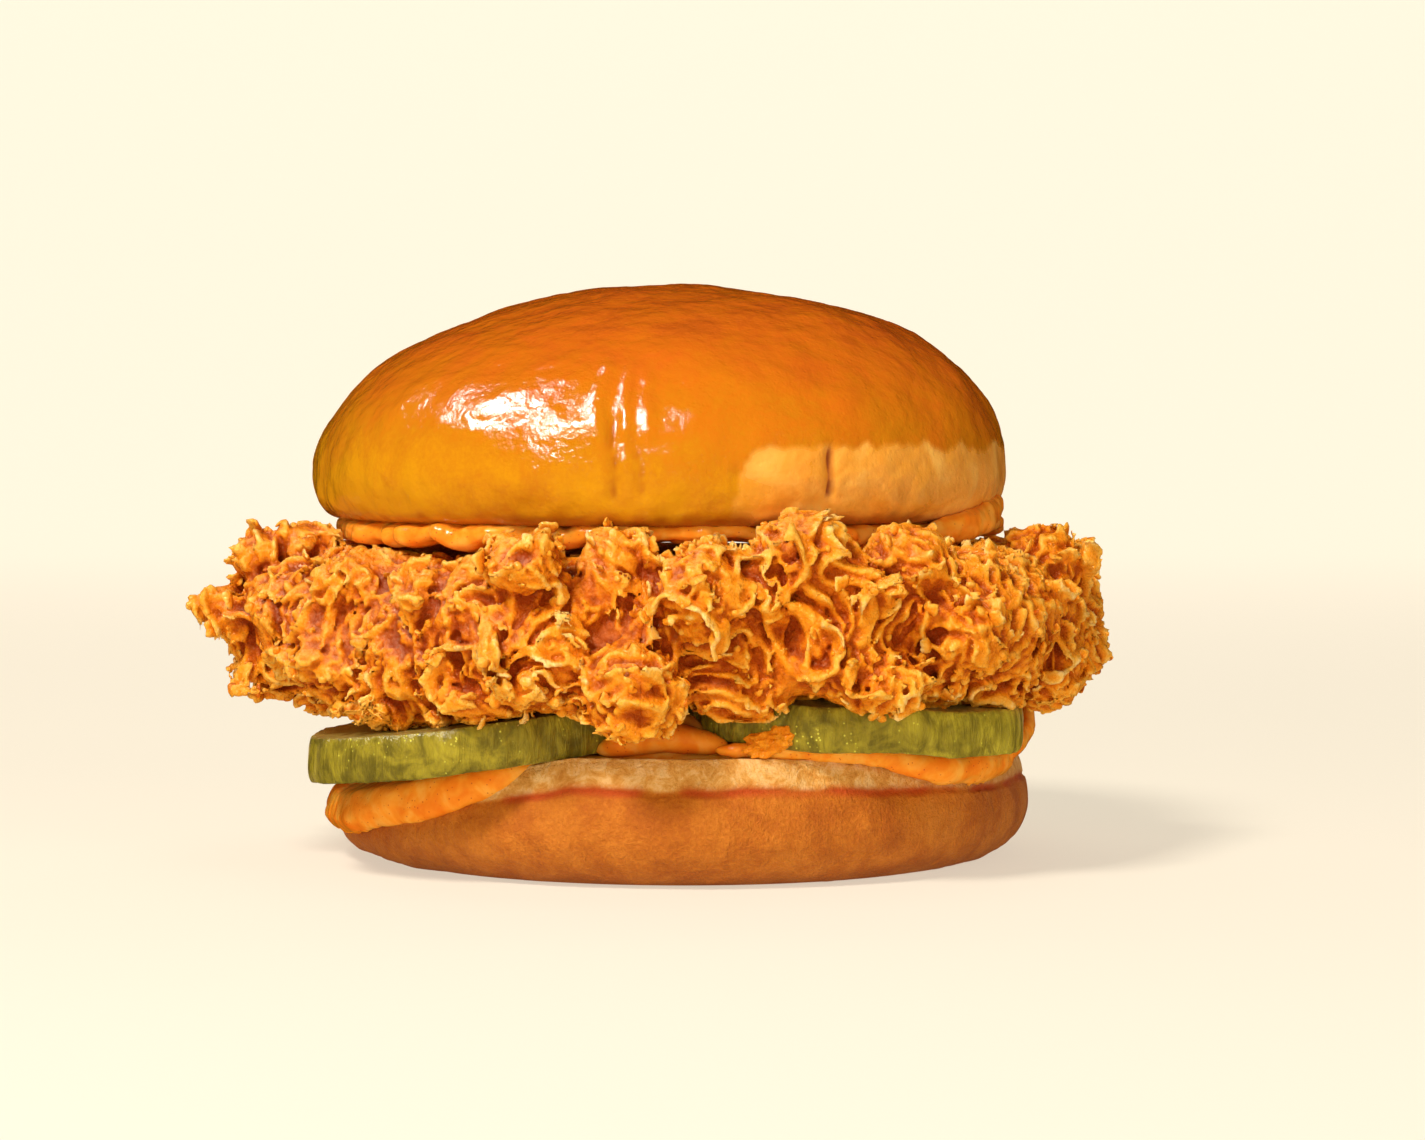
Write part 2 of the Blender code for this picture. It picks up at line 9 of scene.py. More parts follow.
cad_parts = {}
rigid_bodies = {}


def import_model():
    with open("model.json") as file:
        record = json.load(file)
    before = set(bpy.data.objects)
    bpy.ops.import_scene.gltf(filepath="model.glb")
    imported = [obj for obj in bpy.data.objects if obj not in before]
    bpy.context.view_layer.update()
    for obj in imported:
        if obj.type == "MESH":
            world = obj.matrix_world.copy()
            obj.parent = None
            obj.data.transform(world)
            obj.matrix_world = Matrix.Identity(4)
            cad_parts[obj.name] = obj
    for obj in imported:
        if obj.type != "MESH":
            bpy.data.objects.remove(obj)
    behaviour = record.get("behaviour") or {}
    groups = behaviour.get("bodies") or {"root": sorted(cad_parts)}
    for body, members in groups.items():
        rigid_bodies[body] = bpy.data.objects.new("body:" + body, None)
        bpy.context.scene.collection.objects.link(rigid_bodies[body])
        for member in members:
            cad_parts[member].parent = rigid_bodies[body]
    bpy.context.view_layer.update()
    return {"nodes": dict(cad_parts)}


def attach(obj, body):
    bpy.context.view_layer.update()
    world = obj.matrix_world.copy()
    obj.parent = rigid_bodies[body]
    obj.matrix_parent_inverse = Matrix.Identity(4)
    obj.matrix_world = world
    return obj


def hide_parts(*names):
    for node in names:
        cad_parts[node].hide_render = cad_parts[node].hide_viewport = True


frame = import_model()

# Sizes in metres, as in the solids. The front of the burger faces -Y.
MM = 0.001

CROWN = {"radius": 51.0, "bottom": 49.6, "dome": 27.5, "cheek": 6.5, "cut": 46.5, "x": -4.0}
CROWN_SQUARENESS = 0.97
CROWN_LEAN = 3.0
CROWN_CUT_END = 0.16
CROWN_WIDEST_T = 0.32

HEEL = {"radius": 50.3, "base": 41.0, "lip": 49.6, "rim": 47.8, "height": 18.0}
HEEL_WIDEST_AT = 0.50
HEEL_LIP_AT = 0.72
HEEL_DISH = 1.4
HEEL_RIDGE = (-13.0, 8.0)
HEEL_FALL = (0.280, 0.060)
HEEL_EASE = 4.0
HEEL_BASE_END = 0.15
HEEL_WIDEST_T = 0.40
HEEL_LIP_T = 0.55
HEEL_RIM_T = 0.70

PICKLES = {
    "pickle_left": {"x": -29.8, "y": -26.2, "r": 23.4, "under": 16.0, "slope": 0.118, "seed": 3.0},
    "pickle_right": {"x": 23.3, "y": -23.5, "r": 25.2, "under": 18.8, "slope": -0.060, "seed": 8.0},
}
PICKLE_THICK = 6.3

CEILING_UNDER_CROWN = 45.6
FLOOR_OF_FILLET = 20.9

# Creases of the crown's front: place along X, lowest and highest point, depth, half width, wander
CROWN_CREASES = (
    (-9.2, 52.0, 66.5, 0.75, 0.55, 1.1),
    (-6.0, 52.5, 64.0, 0.60, 0.60, 1.3),
    (7.3, 51.5, 59.8, 0.55, 0.40, 0.4),
    (20.1, 52.5, 62.0, 1.30, 0.45, 0.3),
    (-38.5, 51.0, 55.8, 0.40, 0.45, 0.3),
    (-30.0, 51.0, 55.5, 0.35, 0.60, 0.3),
    (13.5, 51.0, 56.5, 0.25, 0.45, 0.3),
    (31.0, 51.5, 57.0, 0.25, 0.50, 0.4),
)
# Raised folds beside them
CROWN_FOLDS = (
    (-10.9, 60.0, 74.0, 0.42, 1.05, 1.2),
    (-7.4, 61.0, 73.0, 0.50, 0.85, 1.0),
    (-4.6, 60.0, 72.5, 0.42, 0.85, 1.1),
)


# Small helpers


def smooth(value):
    """0 below 0, 1 above 1, and a smooth rise between."""
    u = np.clip(value, 0.0, 1.0)
    return u * u * (3.0 - 2.0 * u)


def mix(a, b, share):
    return a + (b - a) * share


def bump(offset, width):
    return np.exp(-((offset / width) ** 2))


def noise_field(points, size, seed=0.0):
    """Smooth noise from -1 to 1 at every point, in millimetres, with lumps of about that size."""
    moved = points / size + np.array([seed, seed * 1.7, seed * 0.3])
    return np.array([noise.noise(p) for p in moved.tolist()])


def layered_noise(points, size, seed, layers=3):
    total = np.zeros(len(points))
    for layer in range(layers):
        total += noise_field(points, size / 2**layer, seed + 13.0 * layer) / 1.9**layer
    return total


def warp(points, size, seed):
    """Three noise fields, to bend the pattern of another."""
    return np.stack([noise_field(points, size, seed + shift) for shift in (11.0, 23.0, 37.0)], axis=1)


def cell_field(points, size, seed=0.0):
    """Distances to the nearest and the second nearest of points strewn about that far apart."""
    moved = points / size + np.array([seed, seed * 1.7, seed * 0.3])
    found = [noise.voronoi(p)[0][:2] for p in moved.tolist()]
    return np.array(found)


def turn_between(angle, degrees):
    return (angle - math.radians(degrees) + math.pi) % (2.0 * math.pi) - math.pi


# Meshes


def new_object(name, mesh):
    made = bpy.data.objects.new(name, mesh)
    bpy.context.scene.collection.objects.link(made)
    return made


def mesh_of(name, points_mm, faces):
    mesh = bpy.data.meshes.new(name)
    mesh.from_pydata((points_mm * MM).tolist(), [], faces)
    mesh.shade_smooth()
    mesh.update()
    return mesh


def points_of(mesh):
    flat = np.empty(len(mesh.vertices) * 3, np.float32)
    mesh.vertices.foreach_get("co", flat)
    return flat.reshape(-1, 3).astype(float) / MM


def normals_of(mesh):
    flat = np.empty(len(mesh.vertices) * 3, np.float32)
    mesh.vertex_normals.foreach_get("vector", flat)
    return flat.reshape(-1, 3).astype(float)


def move_points(mesh, points_mm):
    mesh.vertices.foreach_set("co", (points_mm * MM).astype(np.float32).reshape(-1))
    mesh.update()


def write_values(mesh, name, values):
    layer = mesh.attributes.get(name) or mesh.attributes.new(name, "FLOAT", "POINT")
    layer.data.foreach_set("value", np.asarray(values, np.float32))


def globe(name, segments, rings, place):
    """A closed body of rings round the stack; place(angle, t) gives its points for t from 0 to 1."""
    turns = np.arange(segments) / segments * 2.0 * math.pi - math.pi
    levels = np.arange(1, rings) / rings
    angle = np.concatenate([[0.0], np.tile(turns, rings - 1), [0.0]])
    t = np.concatenate([[0.0], np.repeat(levels, segments), [1.0]])
    points = place(angle, t)
    faces = []
    last = len(angle) - 1
    for column in range(segments):
        beside = (column + 1) % segments
        faces.append((0, 1 + beside, 1 + column))
        top = 1 + (rings - 2) * segments
        faces.append((last, top + column, top + beside))
    for row in range(rings - 2):
        low = 1 + row * segments
        high = low + segments
        for column in range(segments):
            beside = (column + 1) % segments
            faces.append((low + column, low + beside, high + beside, high + column))
    made = new_object(name, mesh_of(name, points, faces))
    return made, angle, t


def apply_modifiers(made):
    """Replaces the object's mesh with the one that its modifiers give."""
    graph = bpy.context.evaluated_depsgraph_get()
    mesh = bpy.data.meshes.new_from_object(made.evaluated_get(graph))
    made.modifiers.clear()
    made.data = mesh


def remesh(made, size_mm, smoothing=0):
    """Even small faces all over, with hard edges melted together."""
    skin = made.modifiers.new("Even faces", "REMESH")
    skin.mode = "VOXEL"
    skin.voxel_size = size_mm * MM
    skin.use_smooth_shade = True
    if smoothing:
        soft = made.modifiers.new("Soften", "SMOOTH")
        soft.factor = 0.5
        soft.iterations = smoothing
    apply_modifiers(made)


def settle(made, node, material):
    """Hands a finished piece to the burger."""
    made.data.materials.clear()
    made.data.materials.append(material)
    made.data.shade_smooth()
    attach(made, "root")
    if node:
        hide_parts(node)
    return made


# Materials


class Surface:
    """A Principled material and short ways to wire its pattern nodes."""

    def __init__(self, name, roughness):
        self.material = bpy.data.materials.new(name)
        self.material.use_nodes = True
        self.nodes = self.material.node_tree.nodes
        self.links = self.material.node_tree.links
        self.shader = self.nodes["Principled BSDF"]
        self.shader.inputs["Roughness"].default_value = roughness
        self.place = self.nodes.new("ShaderNodeTexCoord").outputs["Object"]

    def set(self, socket, value):
        self.shader.inputs[socket].default_value = value

    def attribute(self, name):
        node = self.nodes.new("ShaderNodeAttribute")
        node.attribute_name = name
        return node.outputs["Fac"]

    def stretched(self, scale):
        node = self.nodes.new("ShaderNodeMapping")
        node.inputs["Scale"].default_value = scale
        self.links.new(self.place, node.inputs["Vector"])
        return node.outputs["Vector"]

    def speckle(self, size_mm, detail=3.0, roughness=0.6, distortion=0.0, place=None):
        """Noise from about 0.25 to 0.75 with lumps of that size."""
        node = self.nodes.new("ShaderNodeTexNoise")
        node.inputs["Scale"].default_value = 1000.0 / size_mm
        node.inputs["Detail"].default_value = detail
        node.inputs["Roughness"].default_value = roughness
        node.inputs["Distortion"].default_value = distortion
        self.links.new(place or self.place, node.inputs["Vector"])
        return node.outputs["Fac"]

    def cells(self, size_mm, place=None):
        node = self.nodes.new("ShaderNodeTexVoronoi")
        node.inputs["Scale"].default_value = 1000.0 / size_mm
        self.links.new(place or self.place, node.inputs["Vector"])
        return node.outputs["Distance"]

    def between(self, value, low, high):
        """The value stretched so that low gives 0 and high gives 1."""
        node = self.nodes.new("ShaderNodeMapRange")
        node.interpolation_type = "SMOOTHSTEP"
        node.inputs["From Min"].default_value = low
        node.inputs["From Max"].default_value = high
        self.links.new(value, node.inputs["Value"])
        return node.outputs["Result"]

    def maths(self, operation, a, b):
        node = self.nodes.new("ShaderNodeMath")
        node.operation = operation
        for socket, value in zip(node.inputs, (a, b)):
            if isinstance(value, (int, float)):
                socket.default_value = value
            else:
                self.links.new(value, socket)
        return node.outputs["Value"]

    def ramp(self, value, stops):
        node = self.nodes.new("ShaderNodeValToRGB")
        points = node.color_ramp.elements
        while len(points) < len(stops):
            points.new(0.5)
        for point, (at, colour) in zip(points, stops):
            point.position = at
            point.color = (*colour, 1.0)
        self.links.new(value, node.inputs["Fac"])
        return node.outputs["Color"]

    def tint(self, share, a, b, mode="MIX"):
        node = self.nodes.new("ShaderNodeMix")
        node.data_type = "RGBA"
        node.blend_type = mode
        for socket, value in ((node.inputs[0], share), (node.inputs[6], a), (node.inputs[7], b)):
            if isinstance(value, tuple):
                socket.default_value = (*value, 1.0)
            elif isinstance(value, (int, float)):
                socket.default_value = value
            else:
                self.links.new(value, socket)
        return node.outputs[2]

    def colour(self, source):
        self.links.new(source, self.shader.inputs["Base Color"])

    def rough(self, source):
        self.links.new(source, self.shader.inputs["Roughness"])

    def relief(self, heights):
        """Bumps: pairs of a height source and its depth in millimetres."""
        normal = None
        for source, depth_mm in heights:
            node = self.nodes.new("ShaderNodeBump")
            node.inputs["Strength"].default_value = 1.0
            node.inputs["Distance"].default_value = depth_mm * MM
            self.links.new(source, node.inputs["Height"])
            if normal is not None:
                self.links.new(normal, node.inputs["Normal"])
            normal = node.outputs["Normal"]
        self.links.new(normal, self.shader.inputs["Normal"])


def glazed_crust_material():
    made = Surface("glazed_crown_crust", 0.26)
    made.set("Specular IOR Level", 0.60)
    made.set("Subsurface Weight", 0.06)
    made.set("Subsurface Radius", (1.0, 0.4, 0.15))
    made.set("Subsurface Scale", 0.002)
    # How baked the glaze looks, browner higher up, with painted shade on the right side and painted light low on the
    # left.
    bake = made.attribute("bake")
    blotch = made.between(made.speckle(9.0, 4.0, 0.65, 0.6), 0.30, 0.70)
    fine = made.between(made.speckle(0.7, 3.0, 0.7), 0.30, 0.70)
    tone = made.maths("ADD", bake, made.maths("MULTIPLY", made.maths("SUBTRACT", blotch, 0.5), 0.22))
    tone = made.maths("ADD", tone, made.maths("MULTIPLY", made.maths("SUBTRACT", fine, 0.5), 0.10))
    glaze = made.ramp(tone, (
        (0.00, (0.61, 0.250, 0.005)),
        (0.22, (0.54, 0.182, 0.005)),
        (0.48, (0.58, 0.150, 0.005)),
        (0.75, (0.60, 0.118, 0.006)),
        (1.00, (0.42, 0.066, 0.005)),
    ))
    pale = made.ramp(blotch, ((0.0, (0.78, 0.280, 0.022)), (0.6, (0.87, 0.370, 0.042)), (1.0, (0.92, 0.470, 0.080))))
    bare = made.attribute("bare")
    body = made.tint(bare, glaze, pale)
    # Dark red-brown painted shade in the deep creases and under the crown's rim.
    body = made.tint(made.attribute("slit"), body, (0.30, 0.035, 0.004))
    made.colour(body)
    made.rough(made.maths("ADD", made.maths("MULTIPLY", bare, 0.30), made.ramp(blotch, ((0.0, (0.05,) * 3), (1.0, (0.14,) * 3)))))
    pits = made.between(made.cells(1.1), 0.0, 0.35)
    made.relief(((made.speckle(3.6, 2.0, 0.5), 0.34), (fine, 0.025), (pits, 0.035)))
    return made.material


def heel_crust_material():
    made = Surface("baked_heel_crust", 0.62)
    made.set("Specular IOR Level", 0.30)
    made.set("Subsurface Weight", 0.06)
    made.set("Subsurface Radius", (1.0, 0.45, 0.2))
    made.set("Subsurface Scale", 0.002)
    blotch = made.between(made.speckle(8.0, 4.0, 0.65, 0.5), 0.30, 0.70)
    fine = made.between(made.speckle(0.55, 3.0, 0.75), 0.28, 0.72)
    tone = made.tint(0.35, blotch, fine)
    crust = made.ramp(tone, ((0.0, (0.38, 0.080, 0.004)), (0.5, (0.51, 0.135, 0.007)), (1.0, (0.65, 0.205, 0.016))))
    streak = made.between(made.speckle(2.4, 5.0, 0.75, 0.6), 0.28, 0.72)
    pale = made.ramp(streak, ((0.0, (0.55, 0.20, 0.022)), (0.45, (0.70, 0.33, 0.065)), (1.0, (0.84, 0.52, 0.20))))
    body = made.tint(made.attribute("band"), crust, pale)
    body = made.tint(made.attribute("lip"), body, (0.46, 0.060, 0.004))
    # Darker at the heel's foot and towards its right: painted shade.
    body = made.tint(made.attribute("toast"), body, (0.36, 0.085, 0.012))
    made.colour(body)
    wrinkles = made.speckle(1.6, 3.0, 0.65, 0.4, made.stretched((1.6, 1.6, 0.5)))
    made.relief(((wrinkles, 0.34), (fine, 0.14), (made.speckle(4.0, 3.0, 0.6), 0.30)))
    return made.material


def fried_crust_material():
    made = Surface("fried_crust_gold", 0.30)
    made.set("Specular IOR Level", 0.60)
    made.set("Specular Tint", (1.0, 0.82, 0.50, 1.0))
    narrow = made.between(made.attribute("narrow"), -0.10, 0.22)
    wide = made.between(made.attribute("wide"), -0.22, 0.26)
    tone = made.attribute("tone")
    patches = made.between(made.speckle(11.0, 3.0, 0.6, 0.5), 0.33, 0.67)
    fine = made.between(made.speckle(0.8, 4.0, 0.7, 0.4), 0.28, 0.72)
    # Darker in the narrow and wide hollows and paler on the open ridges: painted shade in the crevices.
    level = made.maths("ADD", made.maths("MULTIPLY", wide, 0.48), made.maths("MULTIPLY", narrow, 0.40))
    level = made.maths("ADD", level, made.maths("MULTIPLY", made.maths("SUBTRACT", fine, 0.5), 0.16))
    level = made.maths("ADD", level, made.maths("MULTIPLY", made.maths("SUBTRACT", patches, 0.5), 0.12))
    level = made.maths("ADD", level, made.maths("MULTIPLY", made.maths("SUBTRACT", tone, 0.5), 0.20))
    gold = made.ramp(level, (
        (0.00, (0.30, 0.034, 0.002)),
        (0.20, (0.52, 0.090, 0.002)),
        (0.42, (0.80, 0.215, 0.005)),
        (0.66, (0.89, 0.300, 0.012)),
        (0.86, (0.93, 0.440, 0.050)),
        (1.00, (0.96, 0.640, 0.220)),
    ))
    made.colour(gold)
    made.rough(made.ramp(fine, ((0.0, (0.16,) * 3), (1.0, (0.36,) * 3))))
    made.relief(((made.speckle(1.6, 4.0, 0.65, 0.5), 0.30), (fine, 0.14), (made.speckle(0.4, 2.0, 0.6), 0.05)))
    return made.material


def sauce_material():
    made = Surface("spiced_sauce", 0.17)
    made.set("Specular IOR Level", 0.55)
    made.set("Subsurface Weight", 0.35)
    made.set("Subsurface Radius", (1.0, 0.40, 0.12))
    made.set("Subsurface Scale", 0.004)
    cloud = made.between(made.speckle(4.0, 3.0, 0.6, 0.4), 0.30, 0.70)
    body = made.ramp(cloud, ((0.0, (0.90, 0.205, 0.008)), (0.5, (0.97, 0.300, 0.018)), (1.0, (1.0, 0.400, 0.050))))
    specks = made.between(made.cells(0.85), 0.16, 0.10)
    body = made.tint(made.maths("MULTIPLY", specks, 0.75), body, (0.55, 0.045, 0.008))
    made.colour(made.tint(made.attribute("shade"), body, (0.40, 0.060, 0.006)))
    made.relief(((made.speckle(2.2, 3.0, 0.5), 0.16), (made.speckle(0.5, 2.0, 0.6), 0.02)))
    return made.material


def pickle_material():
    made = Surface("wet_pickle_skin", 0.28)
    made.set("Specular IOR Level", 0.50)
    made.set("Subsurface Weight", 0.22)
    made.set("Subsurface Radius", (0.6, 0.7, 0.15))
    made.set("Subsurface Scale", 0.003)
    blotch = made.between(made.speckle(4.2, 4.0, 0.65, 0.8), 0.32, 0.68)
    streaks = made.between(made.speckle(2.0, 4.0, 0.7, 0.3, made.stretched((1.5, 1.5, 0.28))), 0.30, 0.70)
    tone = made.maths("ADD", made.maths("MULTIPLY", made.tint(0.25, blotch, streaks), 0.62), 0.19)
    # Lighter towards the right pickle's right end: painted shade under the fillet, painted light at its open end, with
    # random tone.
    tone = made.maths("ADD", tone, made.maths("MULTIPLY", made.maths("SUBTRACT", made.attribute("fresh"), 0.5), 0.7))
    skin = made.ramp(tone, (
        (0.0, (0.075, 0.056, 0.007)),
        (0.35, (0.175, 0.132, 0.011)),
        (0.65, (0.330, 0.255, 0.018)),
        (1.0, (0.560, 0.450, 0.034)),
    ))
    specks = made.between(made.cells(0.8), 0.22, 0.12)
    clusters = made.between(made.speckle(5.0, 2.0, 0.5), 0.50, 0.62)
    body = made.tint(made.maths("MULTIPLY", specks, clusters), skin, (0.66, 0.60, 0.07))
    flesh = made.ramp(streaks, ((0.0, (0.20, 0.13, 0.02)), (1.0, (0.42, 0.32, 0.07))))
    body = made.tint(made.attribute("flesh"), body, flesh)
    made.colour(made.tint(made.attribute("cream"), body, (0.78, 0.56, 0.24)))
    made.relief(((streaks, 0.20), (made.speckle(0.9, 3.0, 0.6), 0.06)))
    return made.material


# Bun crown


def crown_profile(t):
    """Radius and height above the cut face."""
    cut = CROWN["cut"] * t / CROWN_CUT_END
    turn = np.clip((t - CROWN_CUT_END) / (CROWN_WIDEST_T - CROWN_CUT_END), 0.0, 1.0) * math.pi / 2.0
    cheek_r = CROWN["cut"] + (CROWN["radius"] - CROWN["cut"]) * np.sin(turn)
    cheek_z = CROWN["cheek"] * (1.0 - np.cos(turn))
    over = np.clip((t - CROWN_WIDEST_T) / (1.0 - CROWN_WIDEST_T), 0.0, 1.0) * math.pi / 2.0
    dome_r = CROWN["radius"] * np.clip(np.cos(over), 0.0, 1.0) ** CROWN_SQUARENESS
    dome_z = CROWN["cheek"] + CROWN["dome"] * np.sin(over) ** CROWN_SQUARENESS
    r = np.where(t < CROWN_CUT_END, cut, np.where(t < CROWN_WIDEST_T, cheek_r, dome_r))
    height = np.where(t < CROWN_CUT_END, 0.0, np.where(t < CROWN_WIDEST_T, cheek_z, dome_z))
    return r, height


def crown_place(angle, t):
    r, height = crown_profile(t)
    x, y = r * np.cos(angle), r * np.sin(angle)
    place = np.stack([x, y, height], axis=1)
    swell = 0.9 * noise_field(place, 22.0, 7.0) + 0.4 * noise_field(place, 9.0, 2.0)
    lift = smooth(height / CROWN["cheek"])
    lean = CROWN_LEAN * smooth((height - CROWN["cheek"]) / CROWN["dome"])
    out = 0.7 * swell * lift
    place[:, 0] += CROWN["x"] + lean + np.cos(angle) * out
    place[:, 1] += np.sin(angle) * out
    place[:, 2] += CROWN["bottom"] + out
    return place


def crease_field(points, creases, seed):
    """How deep each point lies in the creases of the front, in millimetres."""
    total = np.zeros(len(points))
    in_front = smooth((-points[:, 1] - 10.0) / 12.0)
    for index, (at, low, high, depth, width, wander) in enumerate(creases):
        line = np.stack([np.full(len(points), at), np.zeros(len(points)), points[:, 2]], axis=1)
        centre = at + wander * noise_field(line, 4.5, seed + 5.0 * index)
        thick = width * (1.0 + 0.5 * noise_field(line, 3.0, seed + 40.0 + index))
        ends = smooth((points[:, 2] - low) / 2.0) * smooth((high - points[:, 2]) / 3.0)
        total += depth * bump(points[:, 0] - centre, thick) * ends * in_front
    return total


def glaze_line(points):
    """Height of the jagged edge below which the right side of the crown has no glaze."""
    flat = np.stack([points[:, 0], points[:, 1] * 0.6, np.zeros(len(points))], axis=1)
    jag = 1.1 * noise_field(flat, 5.0, 4.0) + 0.8 * noise_field(flat, 1.6, 9.0)
    ramp_up = smooth((points[:, 0] - 4.0) / 6.0)
    return mix(46.0, 60.2 + jag, ramp_up)


def bun_crown():
    made, angle, t = globe("bun_crown_crust", 420, 210, crown_place)
    mesh = made.data
    points, normals = points_of(mesh), normals_of(mesh)
    creases = crease_field(points, CROWN_CREASES, 3.0)
    folds = crease_field(points, CROWN_FOLDS, 21.0)
    dimples = 0.18 * layered_noise(points, 5.0, 31.0) + 0.05 * noise_field(points, 1.3, 17.0)
    side = smooth((points[:, 2] - 50.0) / 3.0)
    lowest = smooth((58.0 - points[:, 2]) / 8.0) * side
    puckers = 0.65 * lowest * noise_field(points * np.array([1.0, 1.0, 0.15]), 2.4, 51.0)
    points += normals * (folds + side * dimples + puckers - creases)[:, None]
    move_points(mesh, points)
    line = glaze_line(points) + 0.7 * noise_field(points * np.array([1.0, 1.0, 0.3]), 2.2, 93.0)
    bare = smooth((line - points[:, 2]) / 1.3 + 0.5) * smooth((points[:, 0] - 4.0 + 3.0 * noise_field(points, 4.0, 73.0)) / 9.0)
    bare *= 0.86 + 0.28 * layered_noise(points, 5.0, 83.0)
    height = (points[:, 2] - 50.0) / 33.5
    # Browner higher up, as baked; darker towards the right as painted shade, lighter low on the left as painted light.
    bake = 0.10 + 0.62 * smooth(height * 1.15) + 0.10 * smooth(points[:, 0] / 45.0)
    bake += 0.05 * layered_noise(points, 12.0, 5.0)
    bake -= 0.18 * smooth((-points[:, 0] - 20.0) / 30.0) * (1.0 - height)
    write_values(mesh, "bare", bare)
    write_values(mesh, "bake", bake)
    # Painted shade in the deep creases and along the crown's underside rim.
    under = smooth((51.6 + 0.9 * noise_field(points, 2.2, 63.0) - points[:, 2]) / 1.6)
    write_values(mesh, "slit", np.maximum(smooth((creases - 0.30) / 0.8) * 0.9, 0.62 * under))
    settle(made, "bun_crown", glazed_crust_material())


# Bun heel


def heel_top(x):
    left, right = HEEL_RIDGE
    away = np.where(x < left, left - x, np.maximum(0.0, x - right))
    fall = np.where(x < left, HEEL_FALL[0], HEEL_FALL[1])
    return HEEL["height"] - fall * (np.sqrt(away**2 + HEEL_EASE**2) - HEEL_EASE)


def heel_profile(t):
    """Radius and share of the height."""
    base = HEEL["base"] * t / HEEL_BASE_END
    turn = np.clip((t - HEEL_BASE_END) / (HEEL_WIDEST_T - HEEL_BASE_END), 0.0, 1.0) * math.pi / 2.0
    side_r = HEEL["base"] + (HEEL["radius"] - HEEL["base"]) * np.sin(turn)
    side_z = HEEL_WIDEST_AT * (1.0 - np.cos(turn))
    up = np.clip((t - HEEL_WIDEST_T) / (HEEL_LIP_T - HEEL_WIDEST_T), 0.0, 1.0)
    lip_r, lip_z = mix(HEEL["radius"], HEEL["lip"], up**2), mix(HEEL_WIDEST_AT, HEEL_LIP_AT, up)
    over = np.clip((t - HEEL_LIP_T) / (HEEL_RIM_T - HEEL_LIP_T), 0.0, 1.0)
    band_r = mix(HEEL["lip"], HEEL["rim"], over**2)
    band_z = mix(HEEL_LIP_AT, 1.0, np.sin(over * math.pi / 2.0))
    cut_r = HEEL["rim"] * (1.0 - t) / (1.0 - HEEL_RIM_T)
    steps = [t < HEEL_BASE_END, t < HEEL_WIDEST_T, t < HEEL_LIP_T, t < HEEL_RIM_T]
    r = np.select(steps, [base, side_r, lip_r, band_r], cut_r)
    share = np.select(steps, [np.zeros_like(t), side_z, lip_z, band_z], 1.0)
    return r, share


def heel_place(angle, t):
    r, share = heel_profile(t)
    around = np.stack([np.cos(angle), np.sin(angle), np.zeros(len(angle))], axis=1)
    r = r * (1.0 + 0.010 * noise_field(around, 0.67, 3.0) * smooth(r / HEEL["radius"]))
    x, y = r * around[:, 0], r * around[:, 1]
    dish = np.where(t > HEEL_RIM_T, HEEL_DISH * smooth((HEEL["rim"] - r) / 8.0), 0.0)
    return np.stack([x, y, share * heel_top(x) - dish], axis=1)


def bun_heel():
    made, angle, t = globe("bun_heel_crust", 400, 190, heel_place)
    mesh = made.data
    points, normals = points_of(mesh), normals_of(mesh)
    around = np.stack([np.cos(angle), np.sin(angle), np.zeros(len(angle))], axis=1)
    wander = 0.010 * noise_field(around * 50.0, 9.0, 6.0) + 0.005 * noise_field(around * 50.0, 2.5, 16.0)
    from_lip = t - (HEEL_LIP_T + 0.012 + wander)
    groove = 0.55 * bump(from_lip, 0.009) * (0.75 + 0.5 * noise_field(around * 50.0, 7.0, 26.0))
    shelf = 0.35 * smooth(from_lip / 0.02) * smooth((HEEL_RIM_T - t) / 0.03)
    side = smooth((t - 0.17) / 0.05) * smooth((HEEL_RIM_T + 0.01 - t) / 0.02)
    wrinkles = 0.16 * noise_field(points * np.array([1.0, 1.0, 0.25]), 1.8, 61.0)
    lumps = 0.30 * noise_field(points, 7.0, 71.0) + 0.10 * noise_field(points, 2.2, 81.0)
    points += normals * (side * (lumps + wrinkles) - groove - shelf)[:, None]
    points[:, 2] = np.maximum(points[:, 2], 0.0)
    move_points(mesh, points)
    breaks = smooth(noise_field(around * 50.0, 6.0, 36.0) * 2.0 + 0.9)
    write_values(mesh, "band", smooth(from_lip / 0.012) * smooth((1.02 - t) / 0.02))
    write_values(mesh, "lip", bump(from_lip, 0.015) * breaks)
    # Darker at the foot and towards the right: painted shade under the heel and on its right side.
    write_values(mesh, "toast", 0.55 * smooth((3.2 - points[:, 2]) / 3.2) + 0.12 * smooth((points[:, 0] - 34.0) / 14.0))
    settle(made, "bun_heel", heel_crust_material())


# Pickles


def pickle_under(pickle, x):
    return pickle["under"] + pickle["slope"] * (x - pickle["x"])


